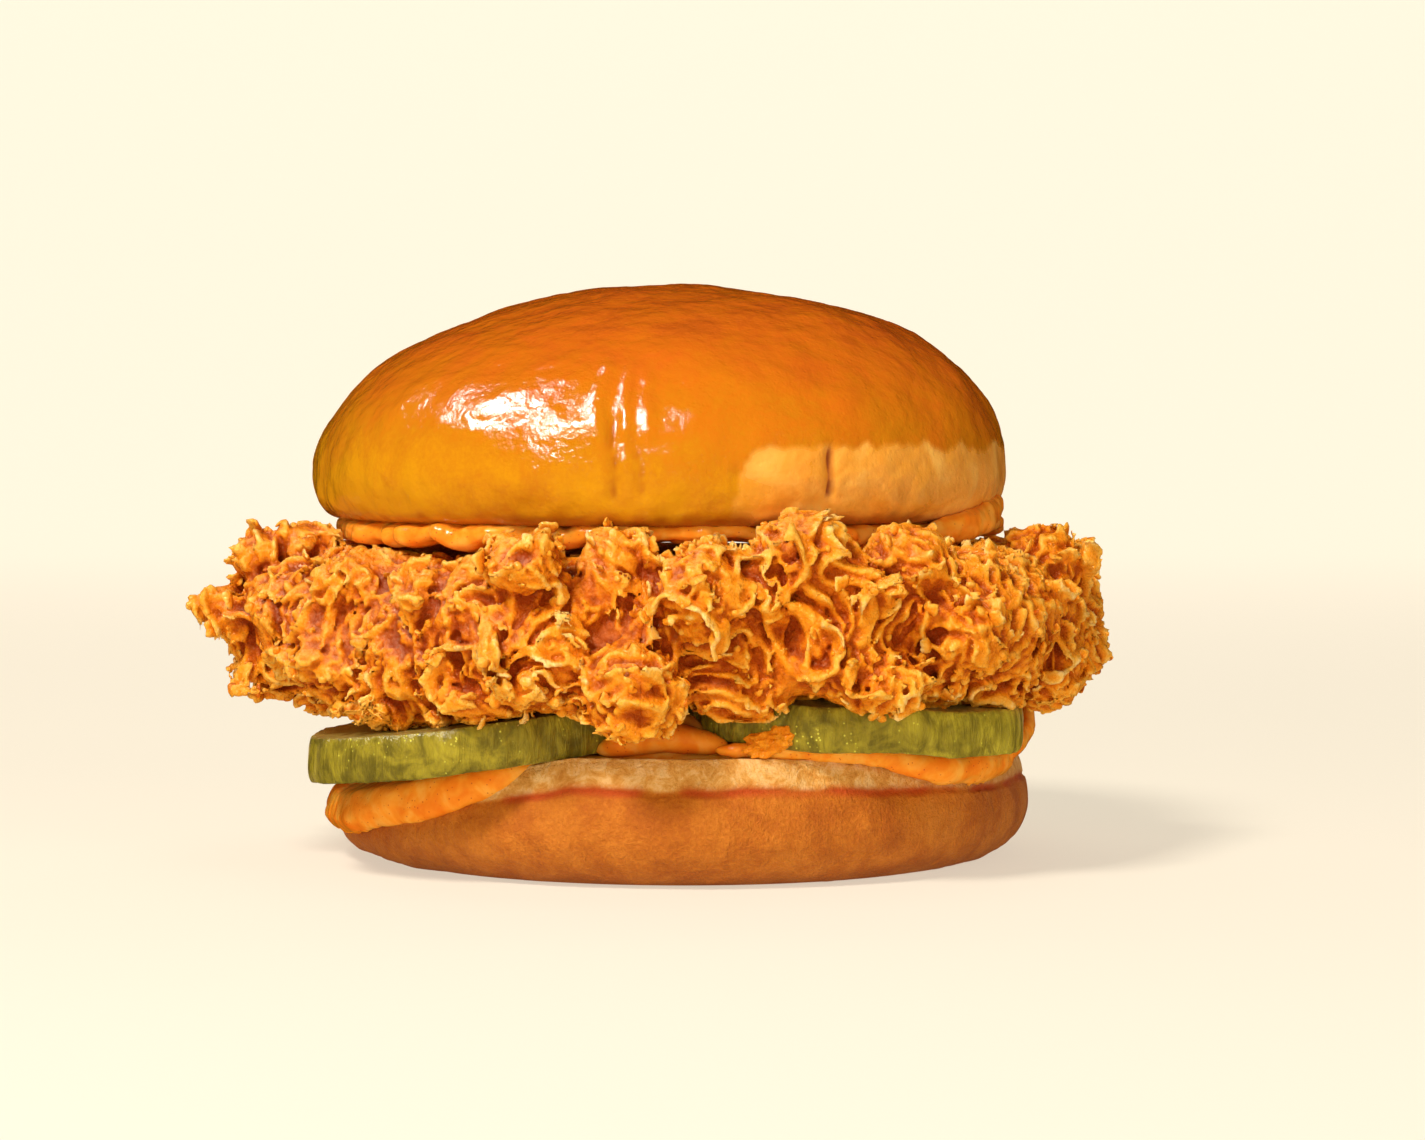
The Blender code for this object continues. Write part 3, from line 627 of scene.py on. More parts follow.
def pickle_slice(name, material):
    pickle = PICKLES[name]

    def place(angle, t):
        up = smooth((t - 0.30) / 0.40)
        straight = np.clip((t - 0.30) / 0.40, 0.0, 1.0)
        inner = np.where(t < 0.5, t / 0.30, (1.0 - t) / 0.30)
        r = np.where((t < 0.30) | (t > 0.70), np.minimum(inner, 1.0) * 0.972, 0.972 + 0.028 * np.sin(straight * math.pi) ** 0.6)
        around = np.stack([np.cos(angle), np.sin(angle), np.zeros(len(angle))], axis=1) * pickle["r"]
        seed = pickle["seed"]
        ridge = 0.28 * np.abs(noise_field(around, 1.6, seed)) + 0.5 * noise_field(around, 9.0, seed + 1.0)
        r = r * pickle["r"] + ridge * smooth(r * 4.0 - 3.0) - 0.25
        x = pickle["x"] + r * np.cos(angle)
        y = pickle["y"] + r * np.sin(angle)
        droop = 0.5 * smooth(r / pickle["r"] * 3.0 - 2.0) * noise_field(around, 12.0, seed + 2.0)
        return np.stack([x, y, pickle_under(pickle, x) + PICKLE_THICK * mix(straight, up, 0.5) + droop], axis=1)

    made, angle, t = globe(name + "_slice", 300, 90, place)
    mesh = made.data
    points, normals = points_of(mesh), normals_of(mesh)
    side = smooth((t - 0.27) / 0.05) * smooth((0.73 - t) / 0.05)
    grain = 0.16 * noise_field(points * np.array([1.0, 1.0, 0.3]), 1.3, 15.0) + 0.14 * noise_field(points, 3.5, 25.0)
    points += normals * (side * grain)[:, None]
    move_points(mesh, points)
    left_end = bump(turn_between(angle, -172.0), 0.20) if name == "pickle_left" else bump(turn_between(angle, -8.0), 0.16)
    stripes = smooth(noise_field(points * np.array([1.0, 1.0, 0.18]), 0.9, 35.0) * 2.2 + 0.2)
    write_values(mesh, "cream", side * left_end * stripes * 0.85)
    write_values(mesh, "flesh", 1.0 - side)
    # Lighter towards the right end of the right pickle, with random tone: painted shade where the fillet overhangs it
    # and painted light at its open end.
    fresh = 0.42 + 0.30 * smooth((points[:, 0] - 22.0) / 22.0) + 0.10 * layered_noise(points, 6.0, 45.0)
    write_values(mesh, "fresh", fresh)
    settle(made, name, material)


# Sauces


def tube(path, radii, flatten, turns=20):
    """Points and faces of a closed sausage that follows a path, for the sauce's ribbons."""
    path = np.asarray(path, float)
    steps = np.linspace(0.0, len(path) - 1.0, (len(path) - 1) * 8 + 1)
    index = np.arange(len(path))
    line = np.stack([np.interp(steps, index, path[:, k]) for k in range(3)], axis=1)
    for _ in range(6):
        line[1:-1] = (line[:-2] + 2.0 * line[1:-1] + line[2:]) / 4.0
    size = np.interp(steps, index, radii)
    end = np.minimum(steps, steps[-1] - steps)
    size = size * np.sqrt(np.clip(1.0 - (1.0 - np.clip(end / 0.6, 0.0, 1.0)) ** 2, 0.02, 1.0))
    along = np.gradient(line, axis=0)
    along /= np.linalg.norm(along, axis=1)[:, None]
    outward = line * np.array([1.0, 1.0, 0.0])
    outward /= np.linalg.norm(outward, axis=1)[:, None]
    up = np.cross(outward, along)
    up /= np.linalg.norm(up, axis=1)[:, None]
    ring = np.arange(turns) / turns * 2.0 * math.pi
    points = (
        line[:, None, :]
        + up[:, None, :] * (size[:, None] * np.cos(ring))[:, :, None]
        + outward[:, None, :] * (size[:, None] * flatten * np.sin(ring))[:, :, None]
    ).reshape(-1, 3)
    points = np.concatenate([points, line[:1], line[-1:]])
    count = len(line)
    faces = []
    for row in range(count - 1):
        for column in range(turns):
            beside = (column + 1) % turns
            a, b = row * turns, (row + 1) * turns
            faces.append((a + column, a + beside, b + beside, b + column))
    first, last = len(points) - 2, len(points) - 1
    for column in range(turns):
        beside = (column + 1) % turns
        faces.append((first, beside, column))
        faces.append((last, (count - 1) * turns + column, (count - 1) * turns + beside))
    return points, faces


def body_of(mesh):
    return points_of(mesh), [tuple(face.vertices) for face in mesh.polygons]


def merged(name, bodies):
    """One object from several closed bodies."""
    points, faces, start = [], [], 0
    for body_points, body_faces in bodies:
        points.append(body_points)
        faces += [tuple(start + corner for corner in face) for face in body_faces]
        start += len(body_points)
    return new_object(name, mesh_of(name, np.concatenate(points), faces))


# Ribbons of the lower sauce: the hump between the pickles, the edge under the right pickle and its curl
SAUCE_RIBBONS = (
    (((-45.5, -23.0, 9.2), (-42.6, -27.8, 9.4), (-37.6, -33.6, 10.8), (-31.2, -38.6, 12.8), (-24.8, -41.6, 15.2), (-19.8, -42.6, 16.8)),
     (2.2, 2.7, 2.9, 2.6, 2.0, 1.0), 0.55),
    (((-12.0, -40.0, 18.4), (-8.0, -41.0, 19.6), (-3.5, -41.0, 20.8), (1.5, -41.0, 20.0), (6.5, -41.5, 19.2)), (1.0, 1.7, 2.2, 1.7, 1.0), 1.3),
    (((-7.0, -36.0, 19.8), (-2.0, -36.0, 21.2), (3.0, -37.0, 20.4)), (2.4, 2.9, 2.2), 1.4),
    (((4.0, -43.8, 18.8), (10.0, -44.9, 19.1), (16.0, -44.6, 19.0), (22.0, -43.2, 18.6), (27.5, -40.8, 17.9), (32.0, -38.0, 17.0)),
     (0.8, 1.1, 1.3, 1.3, 1.5, 1.7), 1.0),
    (((27.0, -41.0, 17.5), (32.0, -38.8, 16.4), (37.0, -35.0, 15.6), (41.5, -29.8, 16.0), (45.2, -23.2, 16.8), (47.6, -15.5, 17.6)),
     (1.4, 1.8, 2.1, 1.9, 1.5, 1.2), 0.8),
    (((44.4, -24.5, 16.6), (47.8, -19.5, 17.8), (49.6, -14.5, 19.6), (50.0, -11.0, 22.0), (49.6, -8.5, 24.2)), (1.4, 1.4, 1.3, 1.1, 0.7), 0.8),
)


# Sauce that climbs the crown's right corner
CORNER_RIBBON = (((34.0, -30.5, 48.2), (40.0, -23.0, 48.9), (43.4, -16.5, 49.9), (45.0, -11.5, 51.2), (45.9, -8.0, 52.6)),
                 (1.8, 2.3, 2.3, 1.8, 0.9), 0.7)


def sauce_lower(material):
    bodies = [body_of(frame["nodes"]["sauce_lower"].data)]
    bodies += [tube(path, radii, flatten) for path, radii, flatten in SAUCE_RIBBONS]
    made = merged("lower_sauce", bodies)
    remesh(made, 0.44, 12)
    mesh = made.data
    points, normals = points_of(mesh), normals_of(mesh)
    points += normals * (0.25 + 0.16 * noise_field(points, 2.6, 12.0) + 0.25 * noise_field(points, 5.5, 22.0))[:, None]
    move_points(mesh, points)
    inside = smooth((46.0 - np.hypot(points[:, 0], points[:, 1])) / 6.0)
    write_values(mesh, "shade", 0.25 * inside * smooth((-points[:, 1] - 10.0) / 10.0))
    settle(made, "sauce_lower", material)


def lodged_crumb(material):
    """A scrap of crust caught at the sauce's edge in front."""

    def place(angle, t):
        turn = (t - 0.5) * math.pi
        way = np.stack([np.cos(angle) * np.cos(turn), np.sin(angle) * np.cos(turn), np.sin(turn)], axis=1)
        lumps = 1.0 + 0.55 * noise_field(way * 3.0, 1.9, 5.0) + 0.35 * noise_field(way * 3.0, 0.9, 15.0)
        place = way * np.array([3.8, 2.1, 1.9]) * lumps[:, None]
        place[:, 2] += 0.18 * place[:, 0]
        return place + np.array([12.4, -45.6, 20.4])

    made, angle, t = globe("lodged_crumb", 90, 50, place)
    points = points_of(made.data)
    bulge = noise_field((points - np.array([12.4, -45.6, 20.4])), 1.1, 25.0)
    write_values(made.data, "narrow", 0.08 + 0.15 * bulge)
    write_values(made.data, "wide", np.full(len(points), 0.05))
    write_values(made.data, "tone", np.full(len(points), 0.5))
    settle(made, None, material)


def sauce_upper(material):
    """A thick layer under the crown with a full, wavy rim."""

    def place(angle, t):
        around = np.stack([np.cos(angle), np.sin(angle), np.zeros(len(angle))], axis=1) * 48.0
        waves = 0.7 * np.sin(5.0 * angle + 0.5) + 0.4 * np.sin(11.0 * angle)
        waves += 1.2 * noise_field(around, 5.0, 14.0) + 0.6 * noise_field(around, 2.0, 44.0)
        edge = 48.0 + 1.3 * waves + 2.4 * bump(turn_between(angle, 2.0), 0.22)
        up = np.sin((t - 0.5) * math.pi)
        r = edge * np.abs(np.cos((t - 0.5) * math.pi)) ** 0.35
        rim = smooth((r / edge - 0.84) / 0.12)
        left = smooth((-around[:, 0] - 2.0) / 12.0)
        low = mix(47.2, 46.6 - 0.7 * left + 1.8 * noise_field(around, 5.0, 24.0), rim)
        high = mix(49.4, 50.4 + 0.8 * noise_field(around, 4.0, 34.0), rim)
        z = mix(low, high, 0.5 + 0.5 * np.sign(up) * np.abs(up) ** 0.5)
        return np.stack([CROWN["x"] + r * np.cos(angle), r * np.sin(angle), z], axis=1)

    layer, _, _ = globe("sauce_layer", 300, 60, place)
    bodies = [body_of(layer.data), tube(*CORNER_RIBBON)]
    bpy.data.objects.remove(layer)
    made = merged("upper_sauce", bodies)
    remesh(made, 0.42, 4)
    mesh = made.data
    points, normals = points_of(mesh), normals_of(mesh)
    rim = smooth((np.hypot(points[:, 0] - CROWN["x"], points[:, 1]) - 38.0) / 6.0)
    points += normals * (rim * (0.28 * noise_field(points, 2.6, 32.0) + 0.12 * noise_field(points, 1.2, 42.0)))[:, None]
    move_points(mesh, points)
    write_values(mesh, "shade", 0.5 * smooth((48.0 - points[:, 2]) / 3.0) * (1.0 - smooth((-points[:, 0] - 8.0) / 8.0)))
    settle(made, "sauce_upper", material)


# Fillet


CRUST_LOW = np.array([-80.0, -66.0, 17.0])
CRUST_HIGH = np.array([72.0, 56.0, 56.0])
FORM_STEP = 1.5
CORE_STEP = 1.0
CRUST_CENTRE = (-4.5, 0.0)
# Wedges of the crust: name, first and last direction in degrees, and size of the finest detail
CRUST_WEDGES = (
    ("crust_left", -180.0, -130.0, 0.36),
    ("crust_front_left", -130.0, -91.0, 0.36),
    ("crust_front_right", -91.0, -46.0, 0.36),
    ("crust_right", -46.0, 6.0, 0.36),
    ("crust_back_right", 6.0, 94.0, 0.70),
    ("crust_back_left", 94.0, 180.0, 0.70),
)
PETALS = 36
PETAL_SEED = 4
PETAL_RADIUS = (2.0, 5.5)
PETAL_RISE = (0.7, 2.0)
INNER_WALL = 0.62
SHELL = (-3.6, 4.6)
# Lobes of the crust as the front shows them: X, Z, half width, half height, how far out, how calm
CRUST_LOBES = (
    (-60.5, 44.5, 5.0, 3.8, 1.4, 0.4),
    (-53.5, 45.5, 6.5, 4.0, 1.6, 0.3),
    (-67.0, 37.5, 4.0, 2.4, 1.5, 0.2),
    (-64.0, 34.5, 4.2, 2.2, 1.5, 0.2),
    (-56.0, 36.0, 5.5, 6.0, 1.0, 0.0),
    (-57.0, 26.0, 5.5, 3.0, 0.6, 0.3),
    (-50.0, 24.0, 7.0, 3.5, 1.2, 0.3),
    (-37.5, 24.5, 8.0, 3.2, 1.0, 0.3),
    (-47.0, 29.5, 8.0, 5.0, 1.5, 0.3),
    (-46.0, 41.0, 5.0, 4.5, 1.4, 0.3),
    (-38.0, 29.5, 3.8, 4.6, 2.6, 0.6),
    (-34.5, 39.5, 4.2, 5.0, 1.8, 0.2),
    (-28.0, 26.5, 6.5, 3.8, 1.4, 0.4),
    (-17.0, 33.5, 5.5, 8.0, 3.2, 0.55),
    (-21.0, 45.0, 6.0, 4.5, 3.4, 0.3),
    (-9.0, 44.0, 5.0, 7.0, 4.6, 0.45),
    (-7.0, 27.8, 6.8, 6.6, 4.4, 0.25),
    (3.0, 41.0, 6.0, 7.5, 4.0, 0.55),
    (8.0, 28.0, 8.0, 5.5, 2.0, 0.65),
    (16.5, 46.8, 7.5, 5.0, 5.2, 0.4),
    (18.5, 33.5, 4.0, 6.5, 1.8, 0.3),
    (27.0, 28.5, 7.0, 5.0, 1.8, 0.4),
    (31.0, 44.0, 6.5, 6.0, 3.8, 0.4),
    (38.5, 35.5, 7.0, 6.5, 2.2, 0.45),
    (43.0, 25.5, 5.5, 3.5, 1.0, 0.4),
    (51.5, 43.0, 6.2, 6.0, 2.8, 0.3),
    (51.5, 28.5, 6.4, 6.0, 4.4, 0.9),
)
LOBE_BLEND = 0.8
RIGHT_END_TRIM = 2.0
# The underside of the fillet's left tip: places along X and heights
LEFT_TIP_UNDERSIDE = ((-80.0, -72.0, -66.0, -60.0, -55.0, -50.0), (43.0, 35.5, 27.0, 19.5, 15.5, 8.0))


def least_height(points):
    """The lowest height that the crust may reach: just over a pickle, or over the open sauce."""
    lowest = np.full(len(points), FLOOR_OF_FILLET)
    for pickle in PICKLES.values():
        beside = np.hypot(points[:, 0] - pickle["x"], points[:, 1] - pickle["y"]) - pickle["r"]
        on_pickle = pickle_under(pickle, points[:, 0]) + PICKLE_THICK - 0.2
        lowest = np.maximum(lowest, mix(on_pickle, FLOOR_OF_FILLET, smooth(beside / 1.0)))
    return lowest


def greatest_height(points):
    """The greatest height that the crust may reach: the sauce under the crown, free outside it."""
    outside = smooth((np.hypot(points[:, 0] - CROWN["x"], points[:, 1]) - 47.2) / 2.4)
    return mix(CEILING_UNDER_CROWN, 52.5, outside)


def shown(points):
    """1 on the fillet's rim, which shows, and 0 inside the stack."""
    from_crown = np.hypot(points[:, 0] - CROWN["x"], points[:, 1])
    above = smooth((from_crown - 40.0) / 5.0)
    below = smooth((np.hypot(points[:, 0], points[:, 1]) - 36.0) / 6.0)
    return np.where(points[:, 2] > 35.0, above, below)


def even_grid(low, high, step):
    """The axes and places of an even grid; its nodes lie on whole steps, so that grids agree."""
    low = np.floor(low / step) * step
    count = np.ceil((high - low) / step).astype(int) + 1
    axes = [low[k] + step * np.arange(count[k]) for k in range(3)]
    return low, axes, np.stack(np.meshgrid(*axes, indexing="ij"), axis=-1).reshape(-1, 3)


def sample(grid, low, step, points):
    """Values of a grid at points, with straight lines between its nodes."""
    place = (points - low) / step
    cell = np.clip(np.floor(place).astype(int), 0, np.array(grid.shape) - 2)
    share = np.clip(place - cell, 0.0, 1.0)
    total = np.zeros(len(points))
    for corner in range(8):
        way = np.array([corner >> 2 & 1, corner >> 1 & 1, corner & 1])
        weight = np.prod(np.where(way == 1, share, 1.0 - share), axis=1)
        total += weight * grid[tuple((cell + way).T)]
    return total


def refined(grid, low, step, axes):
    """The grid's values at every crossing of the given axes."""
    for axis, line in enumerate(axes):
        place = np.clip((line - low[axis]) / step, 0.0, grid.shape[axis] - 1.001)
        cell = np.floor(place).astype(int)
        share = (place - cell).reshape([-1 if k == axis else 1 for k in range(3)])
        grid = np.take(grid, cell, axis=axis) * (1.0 - share) + np.take(grid, cell + 1, axis=axis) * share
    return grid


def soft_least(a, b, run):
    """The lesser of two distances, with a rounded change from one to the other."""
    share = np.clip(0.5 + 0.5 * (b - a) / run, 0.0, 1.0)
    return mix(b, a, share) - run * share * (1.0 - share)


def form_with_lobes(core):
    """Distances from the fillet's form with its lobes, negative inside, and how calm the crust is there."""
    tree = BVHTree.FromObject(core, bpy.context.evaluated_depsgraph_get())
    low, axes, grid = even_grid(CRUST_LOW, CRUST_HIGH, FORM_STEP)
    count = [len(line) for line in axes]
    base = np.empty(len(grid))
    for index, place in enumerate((grid * MM).tolist()):
        near, normal, _, away = tree.find_nearest(place)
        base[index] = math.copysign(away, (Vector(place) - near).dot(normal)) / MM
    under_tip = np.interp(grid[:, 0], *LEFT_TIP_UNDERSIDE) - grid[:, 2]
    base = np.maximum(base, 0.75 * under_tip) + RIGHT_END_TRIM * smooth((grid[:, 0] - 48.0) / 10.0)
    solid = base.reshape(count)
    calm = np.zeros(len(grid))
    for x, z, half_x, half_z, out, calmness in CRUST_LOBES:
        line = np.arange(-60.0, 0.0, 0.5)
        ray = np.stack([np.full(len(line), x), line, np.full(len(line), z)], axis=1)
        inside = np.flatnonzero(sample(solid, low, FORM_STEP, ray) < 0.0)
        front = line[inside[0]] if len(inside) else -18.0
        half_y = 0.5 * (half_x + half_z)
        centre = np.array([x, front - out + half_y, z])
        half = np.array([half_x, half_y, half_z])
        share = np.linalg.norm((grid - centre) / half, axis=1)
        lobe = (share - 1.0) * half.min()
        base = soft_least(base, lobe, LOBE_BLEND)
        calm = np.maximum(calm, calmness * smooth(1.6 - share))
    return low, base.reshape(count), calm.reshape(count)


class Wiring:
    """Short ways to add and join the nodes of a geometry tree."""

    def __init__(self, tree):
        self.nodes = tree.nodes
        self.links = tree.links

    def join(self, value, socket):
        if isinstance(value, bpy.types.NodeSocket):
            self.links.new(value, socket)
        else:
            socket.default_value = value

    def maths(self, operation, *values):
        node = self.nodes.new("ShaderNodeMath")
        node.operation = operation
        for value, socket in zip(values, node.inputs):
            self.join(value, socket)
        return node.outputs["Value"]

    def vector(self, operation, *values):
        node = self.nodes.new("ShaderNodeVectorMath")
        node.operation = operation
        for value, socket in zip(values, node.inputs):
            self.join(value, socket)
        return node.outputs["Vector"]

    def scaled(self, vector, size):
        node = self.nodes.new("ShaderNodeVectorMath")
        node.operation = "SCALE"
        self.join(vector, node.inputs[0])
        self.join(size, node.inputs["Scale"])
        return node.outputs["Vector"]

    def pattern(self, place, size, seed):
        node = self.nodes.new("ShaderNodeTexNoise")
        node.normalize = False
        node.inputs["Scale"].default_value = 1.0
        node.inputs["Detail"].default_value = 0.0
        moved = self.vector("ADD", self.scaled(place, 1.0 / size), (seed, seed * 1.7, seed * 0.3))
        self.links.new(moved, node.inputs["Vector"])
        return node

    def noise(self, place, size, seed):
        """Smooth noise from -1 to 1 with lumps of about that size."""
        return self.pattern(place, size, seed).outputs["Fac"]

    def drift(self, place, size, seed, amount):
        """The place, moved by up to that amount along each axis."""
        return self.vector("ADD", place, self.scaled(self.pattern(place, size, seed).outputs["Color"], amount))

    def puff(self, place, size, seed, height):
        """Rounded cushions with sharp creases between them."""
        billow = self.maths("ABSOLUTE", self.noise(place, size, seed))
        return self.maths("MULTIPLY", self.maths("SUBTRACT", billow, 0.2), height)

    def leaf(self, place, base, size, seed, thick, reach):
        """Distance from winding leaves of crust that stand on the form up to a ragged height."""
        up = self.nodes.new("ShaderNodeMapRange")
        self.join(base, up.inputs["Value"])
        up.inputs["From Min"].default_value = -1.5
        up.inputs["From Max"].default_value = 2.5
        up.inputs["To Min"].default_value, up.inputs["To Max"].default_value = thick
        middle = self.maths("MULTIPLY", self.maths("ABSOLUTE", self.noise(place, size, seed)), size)
        wall = self.maths("SUBTRACT", middle, up.outputs["Result"])
        return self.maths("MAXIMUM", wall, self.maths("SUBTRACT", base, reach))

    def terrace(self, place, base, size, seed, height, lean):
        """Overlapping layers: a slow rise, then a steep edge that leans over the next layer."""
        level = self.maths("ADD", self.maths("MULTIPLY", self.noise(place, size, seed), 3.2), self.maths("MULTIPLY", base, lean))
        share = self.maths("FRACT", level)
        rise = self.maths("MULTIPLY", share, 1.0 / 0.80)
        fall = self.maths("MULTIPLY", self.maths("SUBTRACT", 1.0, share), 1.0 / 0.20)
        return self.maths("MULTIPLY", self.maths("MINIMUM", rise, fall), height)


def crag_nodes():
    """The crust's relief over the form, from layers, cushions and winding leaves."""
    tree = bpy.data.node_groups.new("crags", "GeometryNodeTree")
    tree.interface.new_socket("Places", in_out="INPUT", socket_type="NodeSocketGeometry")
    tree.interface.new_socket("Places", in_out="OUTPUT", socket_type="NodeSocketGeometry")
    wire = Wiring(tree)
    given, result = wire.nodes.new("NodeGroupInput"), wire.nodes.new("NodeGroupOutput")
    place = wire.nodes.new("GeometryNodeInputPosition").outputs["Position"]
    read = {}
    for label in ("base", "wild"):
        node = wire.nodes.new("GeometryNodeInputNamedAttribute")
        node.inputs["Name"].default_value = label
        read[label] = node.outputs["Attribute"]
    base, wild = read["base"], read["wild"]
    bent = wire.drift(place, 9.0, 2.0, 4.0)
    curled = wire.drift(bent, 3.0, 9.0, 1.3)
    patch = wire.noise(place, 10.0, 40.0)
    ragged = wire.noise(place, 1.9, 41.0)
    relief = wire.puff(bent, 6.5, 3.0, 2.6)
    relief = wire.maths("ADD", relief, wire.puff(curled, 2.9, 8.0, 1.7))
    relief = wire.maths("ADD", relief, wire.terrace(curled, base, 14.0, 12.0, 1.5, 0.20))
    relief = wire.maths("ADD", wire.maths("MULTIPLY", relief, wild), wire.puff(curled, 1.35, 71.0, 1.05))
    body = wire.maths("SUBTRACT", wire.maths("ADD", base, 1.1), relief)
    tall_reach = wire.maths("ADD", wire.maths("MULTIPLY", patch, 2.6), wire.maths("MULTIPLY", ragged, 1.1))
    tall_reach = wire.maths("MULTIPLY", wire.maths("SUBTRACT", tall_reach, 0.9), wild)
    tall = wire.leaf(curled, base, 9.0, 51.0, (0.85, 0.34), tall_reach)
    short_reach = wire.maths("SUBTRACT", wire.maths("MULTIPLY", ragged, 1.1), wire.maths("MULTIPLY", patch, 2.0))
    short_reach = wire.maths("SUBTRACT", wire.maths("MULTIPLY", short_reach, wild), 0.3)
    short = wire.leaf(curled, base, 3.8, 61.0, (0.55, 0.27), short_reach)
    for leaf, run in ((tall, 0.8), (short, 0.5)):
        joined = wire.nodes.new("ShaderNodeMath")
        joined.operation = "SMOOTH_MIN"
        for value, socket in zip((body, leaf, run), joined.inputs):
            wire.join(value, socket)
        body = joined.outputs["Value"]
    store = wire.nodes.new("GeometryNodeStoreNamedAttribute")
    store.data_type = "FLOAT"
    store.domain = "POINT"
    store.inputs["Name"].default_value = "crags"
    wire.links.new(given.outputs["Places"], store.inputs["Geometry"])
    wire.links.new(body, store.inputs["Value"])
    wire.links.new(store.outputs["Geometry"], result.inputs["Places"])
    return tree


def crag_distance(tree, points, base, wild):
    """Distance of every point from the craggy crust, negative inside."""
    mesh = bpy.data.meshes.new("crag_places")
    mesh.vertices.add(len(points))
    mesh.attributes["position"].data.foreach_set("vector", points.astype(np.float32).reshape(-1))
    write_values(mesh, "base", base)
    write_values(mesh, "wild", wild)
    holder = new_object("crag_places", mesh)
    holder.modifiers.new("Crags", "NODES").node_group = tree
    graph = bpy.context.evaluated_depsgraph_get()
    found = np.empty(len(points), np.float32)
    holder.evaluated_get(graph).data.attributes["crags"].data.foreach_get("value", found)
    bpy.data.objects.remove(holder)
    bpy.data.meshes.remove(mesh)
    return found.astype(float)


def blurred(grid, reach):
    """Means of the grid over boxes of that many nodes to each side, along each axis in turn."""
    for axis in range(3):
        total = np.cumsum(np.moveaxis(grid, axis, 0), axis=0)
        before, after = np.zeros_like(total[:1]), total[-1:]
        padded = np.concatenate([before] * (reach + 1) + [total] + [after] * reach)
        grid = np.moveaxis((padded[2 * reach + 1:] - padded[:-2 * reach - 1]) / (2 * reach + 1), 0, axis)
    return grid


def skin_of(field, low, step):
    """The closed skin where a grid of distances crosses zero, as points and four-sided faces."""
    inside = field < 0.0
    one = np.eye(3, dtype=np.int64)
    cells, places, quads = [], [], []
    for axis in range(3):
        changed = np.zeros(field.shape, bool)
        along = np.moveaxis(inside, axis, 0)
        np.moveaxis(changed, axis, 0)[:-1] = along[1:] != along[:-1]
        corner = np.argwhere(changed)
        value = field[tuple(corner.T)]
        beyond = field[tuple((corner + one[axis]).T)]
        place = corner + one[axis] * (value / (value - beyond))[:, None]
        b, c = one[(axis + 1) % 3], one[(axis + 2) % 3]
        around = (corner, corner - b, corner - b - c, corner - c)
        ids = [np.ravel_multi_index(tuple(cell.T), field.shape) for cell in around]
        quad = np.stack(ids, axis=1)
        turned = value > 0.0
        quad[turned] = quad[turned][:, ::-1]
        quads.append(quad)
        cells += ids
        places += [place] * 4
    names, number = np.unique(np.concatenate(cells), return_inverse=True)
    places = np.concatenate(places)
    count = np.bincount(number)
    points = np.stack([np.bincount(number, weights=places[:, k]) / count for k in range(3)], axis=1)
    return low + points * step, np.searchsorted(names, np.concatenate(quads))


def without_scraps(points, faces):
    """Only the largest connected body."""
    group = np.arange(len(points))
    while True:
        least = group[faces].min(axis=1)
        spread = group.copy()
        np.minimum.at(spread, faces.reshape(-1), np.repeat(least, 4))
        spread = spread[spread]
        if (spread == group).all():
            break
        group = spread
    names, sizes = np.unique(group, return_counts=True)
    kept = group == names[np.argmax(sizes)]
    new_number = np.cumsum(kept) - 1
    return points[kept], new_number[faces[kept[faces[:, 0]]]]


def petal_places(form):
    """Where curled petals of crust stand on the shown rim: centre, outward way and a way across it."""
    form_low, base_grid, _ = form
    rng = np.random.default_rng(PETAL_SEED)
    petals = []
    while len(petals) < PETALS:
        turn = rng.uniform(-math.pi, 0.0) if rng.random() < 0.85 else rng.uniform(0.0, math.pi)
        x = CRUST_CENTRE[0] + 74.0 * math.cos(turn)
        y = 58.0 * math.sin(turn)
        z = rng.uniform(24.0, 47.0)
        line = np.linspace(1.0, 0.5, 120)
        ray = np.stack([CRUST_CENTRE[0] + (x - CRUST_CENTRE[0]) * line, y * line, np.full(len(line), z)], axis=1)
        inside = np.flatnonzero(sample(base_grid, form_low, FORM_STEP, ray) < 0.0)
        if not len(inside):
            continue
        foot = ray[inside[0]]
        around = foot + 1.5 * np.concatenate([np.eye(3), -np.eye(3)])
        near = sample(base_grid, form_low, FORM_STEP, around)
        outward = near[:3] - near[3:]
        outward /= np.linalg.norm(outward)
        across = np.cross(outward, rng.normal(size=3))
        across /= np.linalg.norm(across)
        radius = rng.uniform(*PETAL_RADIUS)
        petals.append((foot, outward, across, radius, rng.uniform(*PETAL_RISE), rng.uniform(-0.5, 0.8)))
    return petals


def with_petals(points, crags, petals):
    """The crust's distances with the petals joined on: open, ragged arcs of a curled thin wall."""
    for index, (foot, outward, across, radius, rise, lean) in enumerate(petals):
        away = points - foot
        close = np.flatnonzero((away**2).sum(axis=1) < (radius * 1.6 + 3.0) ** 2)
        if not len(close):
            continue
        away = away[close]
        up = away @ outward
        side = away @ across
        along = away @ np.cross(outward, across)
        wobble = noise_field(points[close], 2.6, 80.0)
        ragged = noise_field(points[close], 1.5, 90.0)
        side = side + radius * 0.7 - lean * up
        ring = np.abs(np.hypot(side, along) + 1.3 * wobble - radius) - mix(0.55, 0.27, np.clip(up / rise, 0.0, 1.0))
        top = up - rise - 0.8 * ragged + 0.10 * along**2 / radius
        petal = np.maximum(np.maximum(ring, top), np.maximum(-2.0 - up, -side))
        crags[close] = soft_least(crags[close], petal, 0.5)
    return crags


